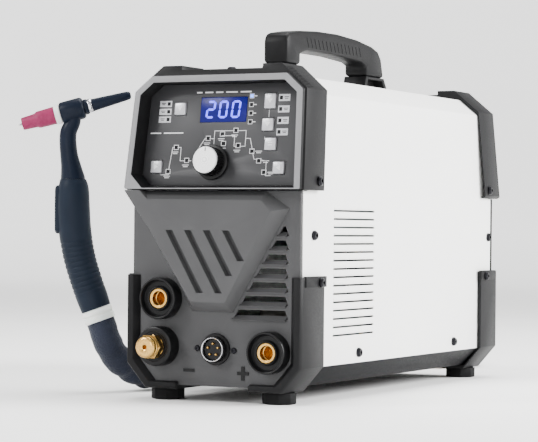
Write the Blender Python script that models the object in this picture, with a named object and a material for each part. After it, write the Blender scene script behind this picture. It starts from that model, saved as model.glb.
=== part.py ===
"""A portable TIG welding machine with its torch: sheet-metal case, moulded guards, control panel,
sockets, carrying handle, fan, and an air-cooled torch on a coiled lead. Metres, +Z up, front to -Y."""

import math

import bmesh
import bpy
from mathutils import Euler, Matrix, Vector

# Case. X = 0 is the middle of the machine and Y = 0 is the rim of the lower front guards.
OVERALL_LENGTH = 0.520
COVER_HALF_WIDTH = 0.0925
COVER_THICKNESS = 0.0015
COVER_END = 0.012             # from the rim to the cover's end edge
ROOF_HEIGHT = 0.320
CHAMFER_WIDTH = 0.021         # the cover's sloping shoulder, across
CHAMFER_DROP = 0.018          # and down
TRAY_TOP = 0.0353
TRAY_BOTTOM = 0.0155
TRAY_CORNER = 0.020           # the tray's sloping bottom corner, across
TRAY_THICKNESS = 0.002
PANEL_FACE = 0.0064           # from the rim back to the end panels
PANEL_THICKNESS = 0.003
GAP = 0.0003                  # left between parts that touch

# Upper guards: leaning frames round the control panel and the rear switch plate.
GUARD_SPLIT = 0.2075          # bottom edge of the upper guards
GUARD_BOTTOM_HALF = COVER_HALF_WIDTH + 0.0067
GUARD_TOP_HALF = COVER_HALF_WIDTH + 0.0025
GUARD_SHOULDER = ROOF_HEIGHT - 0.014
GUARD_TOP = ROOF_HEIGHT + 0.011
GUARD_TOP_CORNER = COVER_HALF_WIDTH - 0.0265
GUARD_DEPTH = 0.051
GUARD_BLOCK = 0.0262          # depth of the solid frame in front of the cover
GUARD_SKIRT = 0.0016          # wall of the skirt that laps over the cover
RIM_STEP = 0.0053
RECESS_DEPTH = 0.0195
LEAN = 0.14                   # metres back for each metre up
LEAN_FOOT = 0.211             # height at which the rim stands RIM_PROUD in front of Y = 0
RIM_PROUD = 0.006

# Lower guards and feet.
LOWER_GUARD_HALF = COVER_HALF_WIDTH + 0.0045
LOWER_GUARD_TOP = 0.1235
LOWER_GUARD_CORNER = 0.0365
LOWER_GUARD_BOTTOM = 0.0115
LOWER_GUARD_CHAMFER = 0.0215
LOWER_GUARD_TOE = 0.040       # where the bottom leg stops, from the middle
LOWER_GUARD_DEPTH = 0.0515
FOOT_ACROSS = 0.031
FOOT_X = 0.062
FOOT_Y = 0.025

# Control panel.
PLATE_THICKNESS = 0.0025
BUTTON_SIDE = 0.0124
BUTTON_PROUD = 0.0022
BUTTON_CLEARANCE = 0.0004
BUTTON_DEPTH = 0.0080
WINDOW_SIZE = (0.0510, 0.0246)
WINDOW_CENTRE = (-0.0021, 0.2871)
KNOB_CENTRE = (-0.0092, 0.2345)
KNOB_RADIUS = 0.0145
KNOB_SKIRT_RADIUS = 0.0175
KNOB_HEIGHT = 0.019
SHAFT_RADIUS = 0.003
SHAFT_CLEARANCE = 0.0012
BUTTONS = {                   # name: (x, z, height)
    "button_torch_mode": (-0.0506, 0.2884, BUTTON_SIDE),
    "button_step_left": (-0.0728, 0.2305, BUTTON_SIDE),
    "button_pulse": (0.0493, 0.2946, 0.0150),
    "button_polarity": (0.0484, 0.2715, BUTTON_SIDE),
    "button_memory": (0.0527, 0.2524, BUTTON_SIDE),
    "button_step_right": (0.0634, 0.2290, BUTTON_SIDE),
}

# Front sockets: places on the panel as (x, z).
SOCKETS = {"left": (-0.0571, 0.1006), "right": (0.0623, 0.0507)}
COLLAR_RADIUS = 0.0205
COLLAR_FRONT = -0.008
COLLAR_NECK = 0.0140
INSERT_RADIUS = 0.0098
INSERT_BORE = 0.0068
INSERT_FRONT = -0.005
SOCKET_BACK = 0.030
FIT = 0.0003                  # radial clearance of the pieces set in holes
GAS_OUTLET = (-0.0590, 0.0535)
GAS_FLANGE_RADIUS = 0.0195
GAS_FLANGE_FRONT = -0.010
GAS_FACE_RADIUS = 0.011
GAS_TAIL_RADIUS = 0.007
GAS_NUT_RADIUS = 0.0128
GAS_BORE = 0.0022
CONTROL_SOCKET = (0.0020, 0.0520)
CONTROL_RADIUS = 0.0125
CONTROL_FLANGE = 0.0155
CONTROL_INSERT = 0.0105

# Raised vent cowl: outlines (x, z) of its face and of its foot on the panel.
COWL_FACE_Y = -0.007
COWL_FACE = [(-0.0790, 0.2072), (-0.0699, 0.1980), (0.0560, 0.1972), (0.0668, 0.1871), (0.0178, 0.0979),
             (-0.0203, 0.0984), (-0.0662, 0.1678), (-0.0837, 0.1900), (-0.0965, 0.2072)]
COWL_FOOT = [(-0.0790, 0.2072), (-0.0690, 0.2072), (0.0550, 0.2070), (0.0812, 0.1897), (0.0205, 0.0878),
             (-0.0245, 0.0886), (-0.0680, 0.1620), (-0.0850, 0.1860), (-0.0920, 0.2072)]
COWL_SLOTS = [(-0.0490, 0.1070), (-0.0280, 0.1070), (-0.0070, 0.1240), (0.0140, 0.1385)]
COWL_SLOT_TOP = 0.1680
COWL_SLOT_WIDTH = 0.0075
COWL_SLOT_SLANT = 0.577
COWL_SLOT_DEPTH = 0.0085

# Front louvres and side louvres.
LOUVRE_COUNT = 7
LOUVRE_FIRST_SILL = 0.1634
LOUVRE_PITCH = 0.01352
LOUVRE_HEIGHT = 0.0090
LOUVRE_RIGHT = 0.0790
SIDE_SLOT_COUNT = 16
SIDE_SLOT_TOP = 0.1895
SIDE_SLOT_PITCH = 0.00825
SIDE_SLOT_START = 0.081
SIDE_SLOT_LENGTH = 0.098
SIDE_SLOT_HEIGHT = 0.0018

# Handle, as (y, z) outline of the grip.
HANDLE_HALF_WIDTH = 0.014
HANDLE_FRONT = 0.1315
HANDLE_REAR = 0.3775
HANDLE_FOOT = ROOF_HEIGHT + 0.0205    # underside of the grip's legs
HANDLE_GAP_FRONT = 0.1645
HANDLE_GAP_REAR = 0.3296
HANDLE_CROWN = ROOF_HEIGHT + 0.0605
HANDLE_UNDERSIDE = ROOF_HEIGHT + 0.0370
BRACKET_SPREAD = 0.012
BRACKET_WALL = 0.003

# Fan, rear fittings and what is inside.
FAN_SIDE = 0.120
FAN_THICKNESS = 0.025
FAN_BORE = 0.0575
FAN_HEIGHT = 0.125
FAN_BLADES = 7
FAN_HUB = 0.019
FAN_TIP_GAP = 0.002
SWITCH_CENTRE = (-0.045, 0.262)
SWITCH_OPENING = (0.0220, 0.0300)
SWITCH_FLANGE = 0.003
ROCKER_RADIUS = 0.0112
ROCKER_TILT = math.radians(10)
GAS_INLET = (-0.0750, 0.150)
GLAND = (0.068, 0.052)
BOARD_TO_REAR = 0.120         # from the board's end to the rear rim
VALVE_TO_REAR = 0.1025        # from the valve's middle to the rear rim
GLAND_BORE = 0.0050
GLAND_NECK = 0.0095
SINK_WIDTH = 0.132
SINK_HEIGHT = 0.050
SINK_BASE = 0.006
SINK_FINS = 9
FIN_THICKNESS = 0.0035

# Torch: its head, in the plane that it is held in, turned about the vertical and set beside the machine.
TORCH_PLACE = (-0.188, 0.0455)
TORCH_TURN = math.radians(27)
HEAD_CENTRE = (-0.0035, 0.2897)
HEAD_TILT = math.radians(15.7)
CUP_LENGTH = 0.035
CUP_TIP_RADIUS = 0.0064
CUP_ROOT_RADIUS = 0.0092
CUP_BORE = 0.0050
CUP_ROOT = -0.0170            # along the head's axis from its centre
ELECTRODE_RADIUS = 0.0012
INSULATOR_LENGTH = 0.0060
CAP_START = 0.0140
CAP_LENGTH = 0.050
NECK_PATH = [(-0.0012, 0.2790, 0.0078), (-0.0056, 0.2690, 0.0086), (-0.0064, 0.2590, 0.0088),
             (-0.0050, 0.2440, 0.0092), (-0.0030, 0.2330, 0.0104)]    # u, z, radius
HANDLE_PATH = [(-0.0008, 0.2190, 0.0135), (-0.0002, 0.2090, 0.0160), (0.0000, 0.1900, 0.0170),
               (0.0020, 0.1650, 0.0168), (0.0070, 0.1380, 0.0166), (0.0150, 0.1120, 0.0164),
               (0.0205, 0.0970, 0.0162), (0.0245, 0.0860, 0.0155)]   # u, z, radius
COLLAR_LENGTH = 0.0130
COLLAR_RING_RADIUS = 0.0160
TRIGGER_HEIGHT = 0.1880
TRIGGER_LENGTH = 0.050
TRIGGER_WIDTH = 0.013
TRIGGER_THICKNESS = 0.0092
TRIGGER_BACK = -0.0110        # the trigger's inner face, from the torch's middle plane
TRIGGER_TRAVEL = 0.002

# Lead: a leather-covered length, then the bare hose and its coil behind the machine.
SLEEVE_DIAMETER = 0.030
HOSE_DIAMETER = 0.016
SLEEVE_ROUTE = [(-0.1580, 0.0610, 0.0590), (-0.1520, 0.0660, 0.0420), (-0.1445, 0.0800, 0.0275),
                (-0.1375, 0.1020, 0.0190), (-0.1325, 0.1320, 0.0162), (-0.1300, 0.1750, 0.0160),
                (-0.1310, 0.2600, 0.0160), (-0.1350, 0.3500, 0.0160), (-0.1400, 0.4400, 0.0160)]
HOSE_ROUTE = [(-0.1473, 0.4957, 0.0105), (-0.1658, 0.5212, 0.0086), (-0.1934, 0.5370, 0.0085),
              (-0.2210, 0.5528, 0.0085), (-0.2395, 0.5783, 0.0085), (-0.2460, 0.6090, 0.0085)]
CUFF_LENGTH = 0.018
COIL_CENTRE = (-0.140, 0.668)
COIL_STRANDS = 3              # side by side, in two layers
COIL_MIDDLE = 0.090           # radius of the middle strand
COIL_HEIGHT = 0.033
PLUG_LENGTH = 0.066
PLUG_RADIUS = 0.0125

LEAD_NODES = ("hose_sleeve", "sleeve_cuff", "torch_hose", "hose_coil", "weld_plug", "control_plug")
ROUND = 32


# ---------------------------------------------------------------- helpers

def clear_scene():
    for obj in list(bpy.data.objects):
        bpy.data.objects.remove(obj)


def linear(channel):
    return channel / 12.92 if channel <= 0.04045 else ((channel + 0.055) / 1.055) ** 2.4


def make_material(name, hex_colour, roughness, metallic=0.0, alpha=1.0):
    material = bpy.data.materials.new(name)
    material.use_nodes = True
    shader = material.node_tree.nodes["Principled BSDF"]
    rgb = [linear(int(hex_colour[i:i + 2], 16) / 255) for i in (0, 2, 4)]
    shader.inputs["Base Color"].default_value = (*rgb, 1.0)
    shader.inputs["Roughness"].default_value = roughness
    shader.inputs["Metallic"].default_value = metallic
    shader.inputs["Alpha"].default_value = alpha
    material.diffuse_color = (*rgb, alpha)
    return material


def finish(bm, name, look, place=(0, 0, 0), turn=(0, 0, 0), parent=None, smooth=None):
    """Turn a bmesh into a named object under the given parent, with faces pointing out."""
    bmesh.ops.remove_doubles(bm, verts=bm.verts, dist=1e-6)
    bmesh.ops.recalc_face_normals(bm, faces=bm.faces)
    mesh = bpy.data.meshes.new(name)
    bm.to_mesh(mesh)
    bm.free()
    if smooth is not None:
        mesh.shade_smooth()
        mesh.set_sharp_from_angle(angle=math.radians(smooth))
    obj = bpy.data.objects.new(name, mesh)
    obj.location = place
    obj.rotation_euler = turn
    obj.parent = parent
    bpy.context.collection.objects.link(obj)
    if look is not None:
        mesh.materials.append(look)
    return obj


def loft(sections, ring=False):
    """A bmesh through closed sections of equal count; a ring joins the last section to the first."""
    bm = bmesh.new()
    loops = [[bm.verts.new(p) for p in section] for section in sections]
    pairs = list(zip(loops, loops[1:] + loops[:1])) if ring else list(zip(loops, loops[1:]))
    for first, second in pairs:
        for i in range(len(first)):
            j = (i + 1) % len(first)
            bm.faces.new((first[i], first[j], second[j], second[i]))
    if not ring:
        bm.faces.new(loops[0][::-1])
        bm.faces.new(loops[-1])
    return bm


def prism(points, start, end, axis="y"):
    """Extrude an outline: (x, z) along y, (y, z) along x, or (x, y) along z."""
    place = {"y": lambda a, b, h: (a, h, b),
             "x": lambda a, b, h: (h, a, b),
             "z": lambda a, b, h: (a, b, h)}[axis]
    return loft([[place(a, b, h) for a, b in points] for h in (start, end)])


def box(low, high):
    outline = [(low[0], low[2]), (high[0], low[2]), (high[0], high[2]), (low[0], high[2])]
    return prism(outline, low[1], high[1])


def turned(profile, axis="y", sides=ROUND):
    """Turn a closed profile of (radius, height) round an axis; a zero radius closes on the axis."""
    bm = bmesh.new()
    rows = []
    for radius, height in profile:
        if radius == 0:
            rows.append([bm.verts.new(Vector((0, 0, height)))])
            continue
        rows.append([bm.verts.new((radius * math.cos(math.tau * k / sides),
                                   radius * math.sin(math.tau * k / sides), height)) for k in range(sides)])
    solid = profile[0][0] == 0 and profile[-1][0] == 0
    pairs = zip(rows, rows[1:]) if solid else zip(rows, rows[1:] + rows[:1])
    for lower, upper in pairs:
        for k in range(sides):
            m = (k + 1) % sides
            corners = [lower[k % len(lower)], lower[m % len(lower)], upper[m % len(upper)],
                       upper[k % len(upper)]]
            unique = list(dict.fromkeys(corners))
            if len(unique) > 2:
                bm.faces.new(unique)
    if axis == "y":     # height runs along -Y, out of the front
        bmesh.ops.rotate(bm, verts=bm.verts, matrix=Matrix.Rotation(math.radians(90), 3, "X"))
    elif axis == "x":
        bmesh.ops.rotate(bm, verts=bm.verts, matrix=Matrix.Rotation(math.radians(90), 3, "Y"))
    return bm


def circle(centre, radius, sides=ROUND, start=0.0):
    return [(centre[0] + radius * math.cos(start + math.tau * k / sides),
             centre[1] + radius * math.sin(start + math.tau * k / sides)) for k in range(sides)]


def join(*parts):
    """Several bmeshes in one, for a cutter of separate bodies."""
    whole = parts[0]
    for part in parts[1:]:
        mesh = bpy.data.meshes.new("part")
        part.to_mesh(mesh)
        part.free()
        whole.from_mesh(mesh)
        bpy.data.meshes.remove(mesh)
    return whole


def boolean(obj, bm, operation="DIFFERENCE"):
    """Cut from, or add to, an object with a hidden helper object that shares its parent and place."""
    helper = finish(bm, f"{obj.name}_{operation.lower()}_{len(obj.modifiers)}", None,
                    obj.location, obj.rotation_euler, obj.parent)
    helper.hide_render = True
    helper.display_type = "WIRE"
    modifier = obj.modifiers.new(operation.title(), "BOOLEAN")
    modifier.operation = operation
    modifier.solver = "EXACT"
    modifier.object = helper
    return obj


def bevel(obj, width, segments=2, angle=40):
    modifier = obj.modifiers.new("Bevel", "BEVEL")
    modifier.width = width
    modifier.segments = segments
    modifier.limit_method = "ANGLE"
    modifier.angle_limit = math.radians(angle)
    return obj


def inset(points, amounts):
    """Move each edge of a closed outline inwards by its own amount and meet them again at the corners."""
    count = len(points)
    area = sum(points[i][0] * points[(i + 1) % count][1] - points[(i + 1) % count][0] * points[i][1]
               for i in range(count))
    side = 1 if area > 0 else -1
    lines = []
    for i in range(count):
        (ax, az), (bx, bz) = points[i], points[(i + 1) % count]
        length = math.hypot(bx - ax, bz - az)
        nx, nz = -(bz - az) / length * side, (bx - ax) / length * side
        lines.append((nx, nz, nx * ax + nz * az + amounts[i]))
    corners = []
    for i in range(count):
        (a1, b1, c1), (a2, b2, c2) = lines[i - 1], lines[i]
        det = a1 * b2 - a2 * b1
        corners.append(((c1 * b2 - c2 * b1) / det, (a1 * c2 - a2 * c1) / det))
    return corners


def smooth_path(points, step):
    """Points at an even spacing along a Catmull-Rom curve through the given points."""
    p = [Vector(q) for q in points]
    p = [2 * p[0] - p[1]] + p + [2 * p[-1] - p[-2]]
    fine = []
    for i in range(1, len(p) - 2):
        for k in range(24):
            t = k / 24
            fine.append(0.5 * (2 * p[i] + (p[i + 1] - p[i - 1]) * t
                               + (2 * p[i - 1] - 5 * p[i] + 4 * p[i + 1] - p[i + 2]) * t ** 2
                               + (3 * p[i] - p[i - 1] - 3 * p[i + 1] + p[i + 2]) * t ** 3))
    fine.append(p[-2])
    total = sum((b - a).length for a, b in zip(fine, fine[1:]))
    count = max(2, round(total / step))
    marks, walked, index = [fine[0]], 0.0, 0
    for k in range(1, count):
        wanted = total * k / count
        while walked + (fine[index + 1] - fine[index]).length < wanted:
            walked += (fine[index + 1] - fine[index]).length
            index += 1
        edge = fine[index + 1] - fine[index]
        marks.append(fine[index] + edge * ((wanted - walked) / edge.length))
    return marks + [fine[-1]]


def tube(name, route, diameter, look, parent):
    """A cord: a curve with a round bevel and filled caps. Its first stretch is straight."""
    curve = bpy.data.curves.new(name, "CURVE")
    curve.dimensions = "3D"
    curve.bevel_depth = diameter / 2
    curve.bevel_resolution = 3
    curve.use_fill_caps = True
    points = [Vector(route[0]), *smooth_path(route[1:], diameter * 1.5)]
    spline = curve.splines.new("POLY")
    spline.points.add(len(points) - 1)
    for spot, point in zip(spline.points, points):
        spot.co = (*point, 1)
    curve.materials.append(look)
    obj = bpy.data.objects.new(name, curve)
    obj.parent = parent
    bpy.context.collection.objects.link(obj)
    return obj


def lean_at(height):
    """How far the leaning rim stands behind Y = 0 at a height."""
    return LEAN * (height - LEAN_FOOT) - RIM_PROUD


def lean_back(bm):
    """Shear a part built against an upright rim so that it leans with the upper guard."""
    for vert in bm.verts:
        vert.co.y += lean_at(vert.co.z)
    return bm


def turn_to_rear(bm):
    """Turn a front part half a turn about the vertical through the middle of the case."""
    for vert in bm.verts:
        vert.co.x, vert.co.y = -vert.co.x, OVERALL_LENGTH - vert.co.y
    return bm


def panel_place(x, z, forward=0.0):
    """A point on the leaning panel's face, moved forward along its normal."""
    tilt = math.atan(LEAN)
    y = lean_at(z) + RECESS_DEPTH + FACE_GAP
    return (x, y - forward * math.cos(tilt), z + forward * math.sin(tilt))


FACE_GAP = 0.0008             # the panel plate's face lies this far behind the recess edge
PANEL_TILT = (-math.atan(LEAN), 0, 0)


# ---------------------------------------------------------------- case

def cover_section(shrink=0.0):
    outer = [(COVER_HALF_WIDTH, TRAY_TOP + GAP), (COVER_HALF_WIDTH, ROOF_HEIGHT - CHAMFER_DROP),
             (COVER_HALF_WIDTH - CHAMFER_WIDTH, ROOF_HEIGHT)]
    outer += [(-x, z) for x, z in reversed(outer)]
    return inset(outer, [shrink] * 5 + [0])


def make_base_tray(frame, look):
    outer = [(COVER_HALF_WIDTH, TRAY_TOP), (COVER_HALF_WIDTH - TRAY_CORNER, TRAY_BOTTOM)]
    outer += [(-x, z) for x, z in reversed(outer)]
    lip = COVER_HALF_WIDTH - COVER_THICKNESS - GAP
    inner_low = COVER_HALF_WIDTH - TRAY_CORNER - TRAY_THICKNESS * 0.4
    lip_top = TRAY_TOP + 0.015
    outline = [outer[0], (lip, TRAY_TOP), (lip, lip_top), (lip - TRAY_THICKNESS, lip_top),
               (lip - TRAY_THICKNESS, TRAY_TOP - 0.0005), (inner_low, TRAY_BOTTOM + TRAY_THICKNESS)]
    outline += [(-x, z) for x, z in reversed(outline)] + [outer[2], outer[1]]
    start = PANEL_FACE + PANEL_THICKNESS + GAP
    return finish(prism(outline, start, OVERALL_LENGTH - start), "base_tray", look, parent=frame)


def side_slot_cutter():
    parts = []
    reach = COVER_HALF_WIDTH + 0.01
    for i in range(SIDE_SLOT_COUNT):
        z = SIDE_SLOT_TOP - i * SIDE_SLOT_PITCH
        for side in (-1, 1):
            x = sorted((side * (COVER_HALF_WIDTH - 0.01), side * reach))
            parts.append(box((x[0], SIDE_SLOT_START, z - SIDE_SLOT_HEIGHT),
                             (x[1], SIDE_SLOT_START + SIDE_SLOT_LENGTH, z)))
    return join(*parts)


def make_case_cover(frame, look):
    outer, inner = cover_section(), cover_section(COVER_THICKNESS)
    outline = outer + inner[::-1]
    cover = finish(prism(outline, COVER_END, OVERALL_LENGTH - COVER_END), "case_cover", look, parent=frame)
    low, high = GUARD_SPLIT - 0.0005, GUARD_TOP + 0.02
    back = GUARD_BLOCK + GAP
    wedge = [(-0.05, low), (lean_at(low) + back, low), (lean_at(high) + back, high), (-0.05, high)]
    wide = COVER_HALF_WIDTH + 0.02
    boolean(cover, join(prism(wedge, -wide, wide, "x"), turn_to_rear(prism(wedge, -wide, wide, "x"))))
    return boolean(cover, side_slot_cutter())


def end_panel():
    """A flat end sheet with the tray's cut-off bottom corners."""
    half, top = COVER_HALF_WIDTH, GUARD_SPLIT - 0.0005
    outline = [(half, top), (half, TRAY_TOP), (half - TRAY_CORNER, TRAY_BOTTOM),
               (TRAY_CORNER - half, TRAY_BOTTOM),
               (-half, TRAY_TOP), (-half, top)]
    return prism(outline, PANEL_FACE, PANEL_FACE + PANEL_THICKNESS)


def hole(centre, radius, sides=ROUND):
    return prism(circle(centre, radius, sides), PANEL_FACE - 0.01, PANEL_FACE + PANEL_THICKNESS + 0.01)


def cowl_edge(z):
    """The cowl foot's right-hand edge at a height."""
    (ax, az), (bx, bz) = COWL_FOOT[3], COWL_FOOT[4]
    return ax + (bx - ax) * (az - z) / (az - bz)


def louvre_cutter():
    parts = []
    for i in range(LOUVRE_COUNT):
        sill = LOUVRE_FIRST_SILL - i * LOUVRE_PITCH
        head = sill + LOUVRE_HEIGHT
        outline = [(cowl_edge(sill) + 0.003, sill), (LOUVRE_RIGHT + 0.001, sill),
                   (LOUVRE_RIGHT - 0.0025, head),
                   (cowl_edge(head) + 0.003, head)]
        parts.append(prism(outline, PANEL_FACE - 0.01, PANEL_FACE + PANEL_THICKNESS + 0.01))
    return join(*parts)


def make_front_panel(frame, look):
    panel = finish(end_panel(), "front_panel", look, parent=frame)
    boolean(panel, louvre_cutter())
    holes = [hole(place, COLLAR_NECK + FIT) for place in SOCKETS.values()]
    holes += [hole(GAS_OUTLET, GAS_TAIL_RADIUS + FIT), hole(CONTROL_SOCKET, CONTROL_RADIUS + FIT)]
    return boolean(panel, join(*holes))


def make_vent_cowl(frame, look):
    foot_y = PANEL_FACE - GAP
    bm = loft([[(x, foot_y, z) for x, z in COWL_FOOT], [(x, COWL_FACE_Y, z) for x, z in COWL_FACE]])
    cowl = finish(bm, "vent_cowl", look, parent=frame)
    slots = []
    for top_x, low_z in COWL_SLOTS:
        run = (COWL_SLOT_TOP - low_z) * COWL_SLOT_SLANT
        outline = [(top_x, COWL_SLOT_TOP), (top_x + run, low_z), (top_x + run + COWL_SLOT_WIDTH, low_z),
                   (top_x + COWL_SLOT_WIDTH, COWL_SLOT_TOP)]
        slots.append(prism(outline, COWL_FACE_Y - 0.01, COWL_FACE_Y + COWL_SLOT_DEPTH))
    return boolean(cowl, join(*slots))


def fan_slot_cutter():
    parts = []
    pitch, height = 0.0085, 0.0050
    reach = FAN_BORE - 0.003
    rows = int((reach - height / 2 - 0.0005) / pitch)
    for i in range(-rows, rows + 1):
        z = FAN_HEIGHT + i * pitch
        half = math.sqrt(reach ** 2 - (abs(i) * pitch + height / 2) ** 2)
        for left, right in ((-half, -0.0025), (0.0025, half)):
            parts.append(box((left, PANEL_FACE - 0.01, z - height / 2),
                             (right, PANEL_FACE + PANEL_THICKNESS + 0.01, z + height / 2)))
    return join(*parts)


def make_rear_panel(frame, look):
    panel = finish(turn_to_rear(end_panel()), "rear_panel", look, parent=frame)
    boolean(panel, turn_to_rear(fan_slot_cutter()))
    fittings = [hole((-GAS_INLET[0], GAS_INLET[1]), GAS_TAIL_RADIUS + FIT),
                hole((-GLAND[0], GLAND[1]), GLAND_NECK + FIT)]
    return boolean(panel, turn_to_rear(join(*fittings)))


# ---------------------------------------------------------------- guards and feet

GUARD_OUTLINE = [(GUARD_BOTTOM_HALF, GUARD_SPLIT), (GUARD_TOP_HALF, GUARD_SHOULDER),
                 (GUARD_TOP_CORNER, GUARD_TOP), (-GUARD_TOP_CORNER, GUARD_TOP),
                 (-GUARD_TOP_HALF, GUARD_SHOULDER), (-GUARD_BOTTOM_HALF, GUARD_SPLIT + 0.003),
                 (-GUARD_BOTTOM_HALF + 0.003, GUARD_SPLIT)]
RIM_OUTER = [0.0020, 0.0020, 0.0103, 0.0020, 0.0020, 0.0008, 0.0006]
RIM_INNER = [0.0086, 0.0086, 0.0170, 0.0086, 0.0086, 0.0150, 0.0020]
RECESS = [0.0096, 0.0096, 0.0180, 0.0096, 0.0096, 0.0160, 0.0040]


def guard_ring(insets, y):
    return [(x, y, z) for x, z in inset(GUARD_OUTLINE, insets)]


def upper_guard_mesh():
    none = [0.0] * 7
    skirt = [GUARD_SKIRT, 0.0042, 0.0105, 0.0042, GUARD_SKIRT, GUARD_SKIRT, GUARD_SKIRT]
    rings = [guard_ring(RIM_INNER, 0.0), guard_ring(RIM_OUTER, 0.0), guard_ring(RIM_OUTER, RIM_STEP),
             guard_ring(none, RIM_STEP), guard_ring(none, GUARD_DEPTH), guard_ring(skirt, GUARD_DEPTH),
             guard_ring(skirt, GUARD_BLOCK), guard_ring(RECESS, GUARD_BLOCK),
             guard_ring(RECESS, RECESS_DEPTH)]
    return lean_back(loft(rings, ring=True))


def make_upper_guard(name, rear, frame, look):
    keep = turn_to_rear if rear else (lambda bm: bm)
    guard = finish(keep(upper_guard_mesh()), name, look, parent=frame)
    low = GUARD_SPLIT - 0.01
    half = COVER_HALF_WIDTH + 3 * GAP
    sill = lean_back(box((-half, GUARD_BLOCK - 0.0006, low), (half, GUARD_DEPTH + 0.02, GUARD_SPLIT + 0.006)))
    middle = GUARD_TOP - 0.0045
    dip = lean_back(box((-0.045, RIM_STEP - 0.02, middle), (0.045, GUARD_DEPTH + 0.02, GUARD_TOP + 0.02)))
    boolean(guard, keep(sill))
    return boolean(guard, keep(dip))


def lower_guard_mesh():
    corner = [(LOWER_GUARD_HALF, LOWER_GUARD_TOP), (LOWER_GUARD_HALF, LOWER_GUARD_CORNER),
              (LOWER_GUARD_HALF - LOWER_GUARD_CHAMFER, LOWER_GUARD_BOTTOM),
              (LOWER_GUARD_TOE, LOWER_GUARD_BOTTOM),
              (LOWER_GUARD_TOE, LOWER_GUARD_TOP)]
    wall = LOWER_GUARD_HALF - COVER_HALF_WIDTH - 0.0005
    floor = TRAY_BOTTOM - LOWER_GUARD_BOTTOM - GAP
    face = PANEL_FACE - GAP
    section = [(0.0, 0.0, 0.0, 0.0035), (0.002, 0.002, 0.002, 0.0), (0.008, 0.008, 0.0065, 0.0),
               (0.0135, 0.013, 0.008, face), (wall, 0.002, floor, face),
               (wall, 0.002, floor, LOWER_GUARD_DEPTH), (0.0, 0.0, 0.0, LOWER_GUARD_DEPTH)]
    lines = []
    for side, slope, bottom, y in section:
        lines.append([(x, y, z) for x, z in inset(corner, [side, slope, bottom, 0, 0])[:4]])
    return loft([[line[k] for line in lines] for k in range(4)])


def make_lower_guard(name, rear, mirror, frame, look):
    def placed(bm):
        if mirror:
            for vert in bm.verts:
                vert.co.x = -vert.co.x
        return turn_to_rear(bm) if rear else bm
    guard = finish(placed(lower_guard_mesh()), name, look, parent=frame)
    hook = box((LOWER_GUARD_HALF - 0.002, 0.008, LOWER_GUARD_TOP - 0.0095),
               (LOWER_GUARD_HALF + 0.0015, LOWER_GUARD_DEPTH + 0.002, LOWER_GUARD_TOP + 0.001))
    return boolean(guard, placed(hook), "UNION")


def make_foot(name, x, y, frame, look):
    high = LOWER_GUARD_BOTTOM - GAP
    radius = FOOT_ACROSS / 2 / math.cos(math.pi / 8)
    rings = [[(*p, z) for p in circle((x, y), radius * share, 8, math.pi / 8)]
             for z, share in ((0.0, 0.95), (0.0012, 1.0), (high, 1.0))]
    return finish(loft(rings), name, look, parent=frame)


# ---------------------------------------------------------------- control panel and rear plate

def plate_mesh():
    outline = inset(GUARD_OUTLINE, [amount + GAP for amount in RECESS])
    front = RECESS_DEPTH + FACE_GAP
    return lean_back(prism(outline, front, front + PLATE_THICKNESS))


def plate_opening(x, z, width, height):
    front = RECESS_DEPTH + FACE_GAP
    return lean_back(box((x - width / 2, front - 0.01, z - height / 2),
                         (x + width / 2, front + PLATE_THICKNESS + 0.01, z + height / 2)))


def make_control_panel(frame, look):
    panel = finish(plate_mesh(), "control_panel", look, parent=frame)
    spare = 2 * BUTTON_CLEARANCE
    parts = [plate_opening(x, z, BUTTON_SIDE + spare, height + spare) for x, z, height in BUTTONS.values()]
    parts.append(plate_opening(*WINDOW_CENTRE, WINDOW_SIZE[0] + 2 * GAP, WINDOW_SIZE[1] + 2 * GAP))
    shaft = prism(circle(KNOB_CENTRE, SHAFT_RADIUS + SHAFT_CLEARANCE, 16), 0.0, 0.06)
    parts.append(shaft)
    return boolean(panel, join(*parts))


def make_display_window(frame, look):
    width, height = WINDOW_SIZE
    front = RECESS_DEPTH + FACE_GAP
    x, z = WINDOW_CENTRE
    bm = box((x - width / 2, front - 0.0006, z - height / 2), (x + width / 2, front + 0.006, z + height / 2))
    return finish(lean_back(bm), "display_window", look, parent=frame)


def make_button(name, x, z, height, frame, look):
    half = BUTTON_SIDE / 2
    bm = box((-half, -BUTTON_PROUD, -height / 2), (half, BUTTON_DEPTH - BUTTON_PROUD, height / 2))
    return finish(bm, name, look, panel_place(x, z), PANEL_TILT, frame)


def make_encoder_knob(frame, look):
    profile = [(0, 0.0015), (KNOB_SKIRT_RADIUS, 0.0015), (KNOB_SKIRT_RADIUS, 0.0035), (KNOB_RADIUS, 0.0060),
               (KNOB_RADIUS, KNOB_HEIGHT - 0.002), (KNOB_RADIUS - 0.0016, KNOB_HEIGHT), (0, KNOB_HEIGHT)]
    profile = [(0, -0.012), (SHAFT_RADIUS, -0.012), (SHAFT_RADIUS, 0.0015)] + profile[1:]
    return finish(turned(profile), "encoder_knob", look, panel_place(*KNOB_CENTRE), PANEL_TILT, frame, 40)


def make_rear_switch_plate(frame, look):
    plate = finish(turn_to_rear(plate_mesh()), "rear_switch_plate", look, parent=frame)
    opening = plate_opening(-SWITCH_CENTRE[0], SWITCH_CENTRE[1], SWITCH_OPENING[0] + 2 * FIT,
                            SWITCH_OPENING[1] + 2 * FIT)
    return boolean(plate, turn_to_rear(opening))


def rear_plate_place():
    x, y, z = panel_place(-SWITCH_CENTRE[0], SWITCH_CENTRE[1])
    return (-x, OVERALL_LENGTH - y, z)


REAR_TILT = (-math.atan(LEAN), 0, math.pi)
SWITCH_PIVOT_DEPTH = 0.0015


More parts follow.
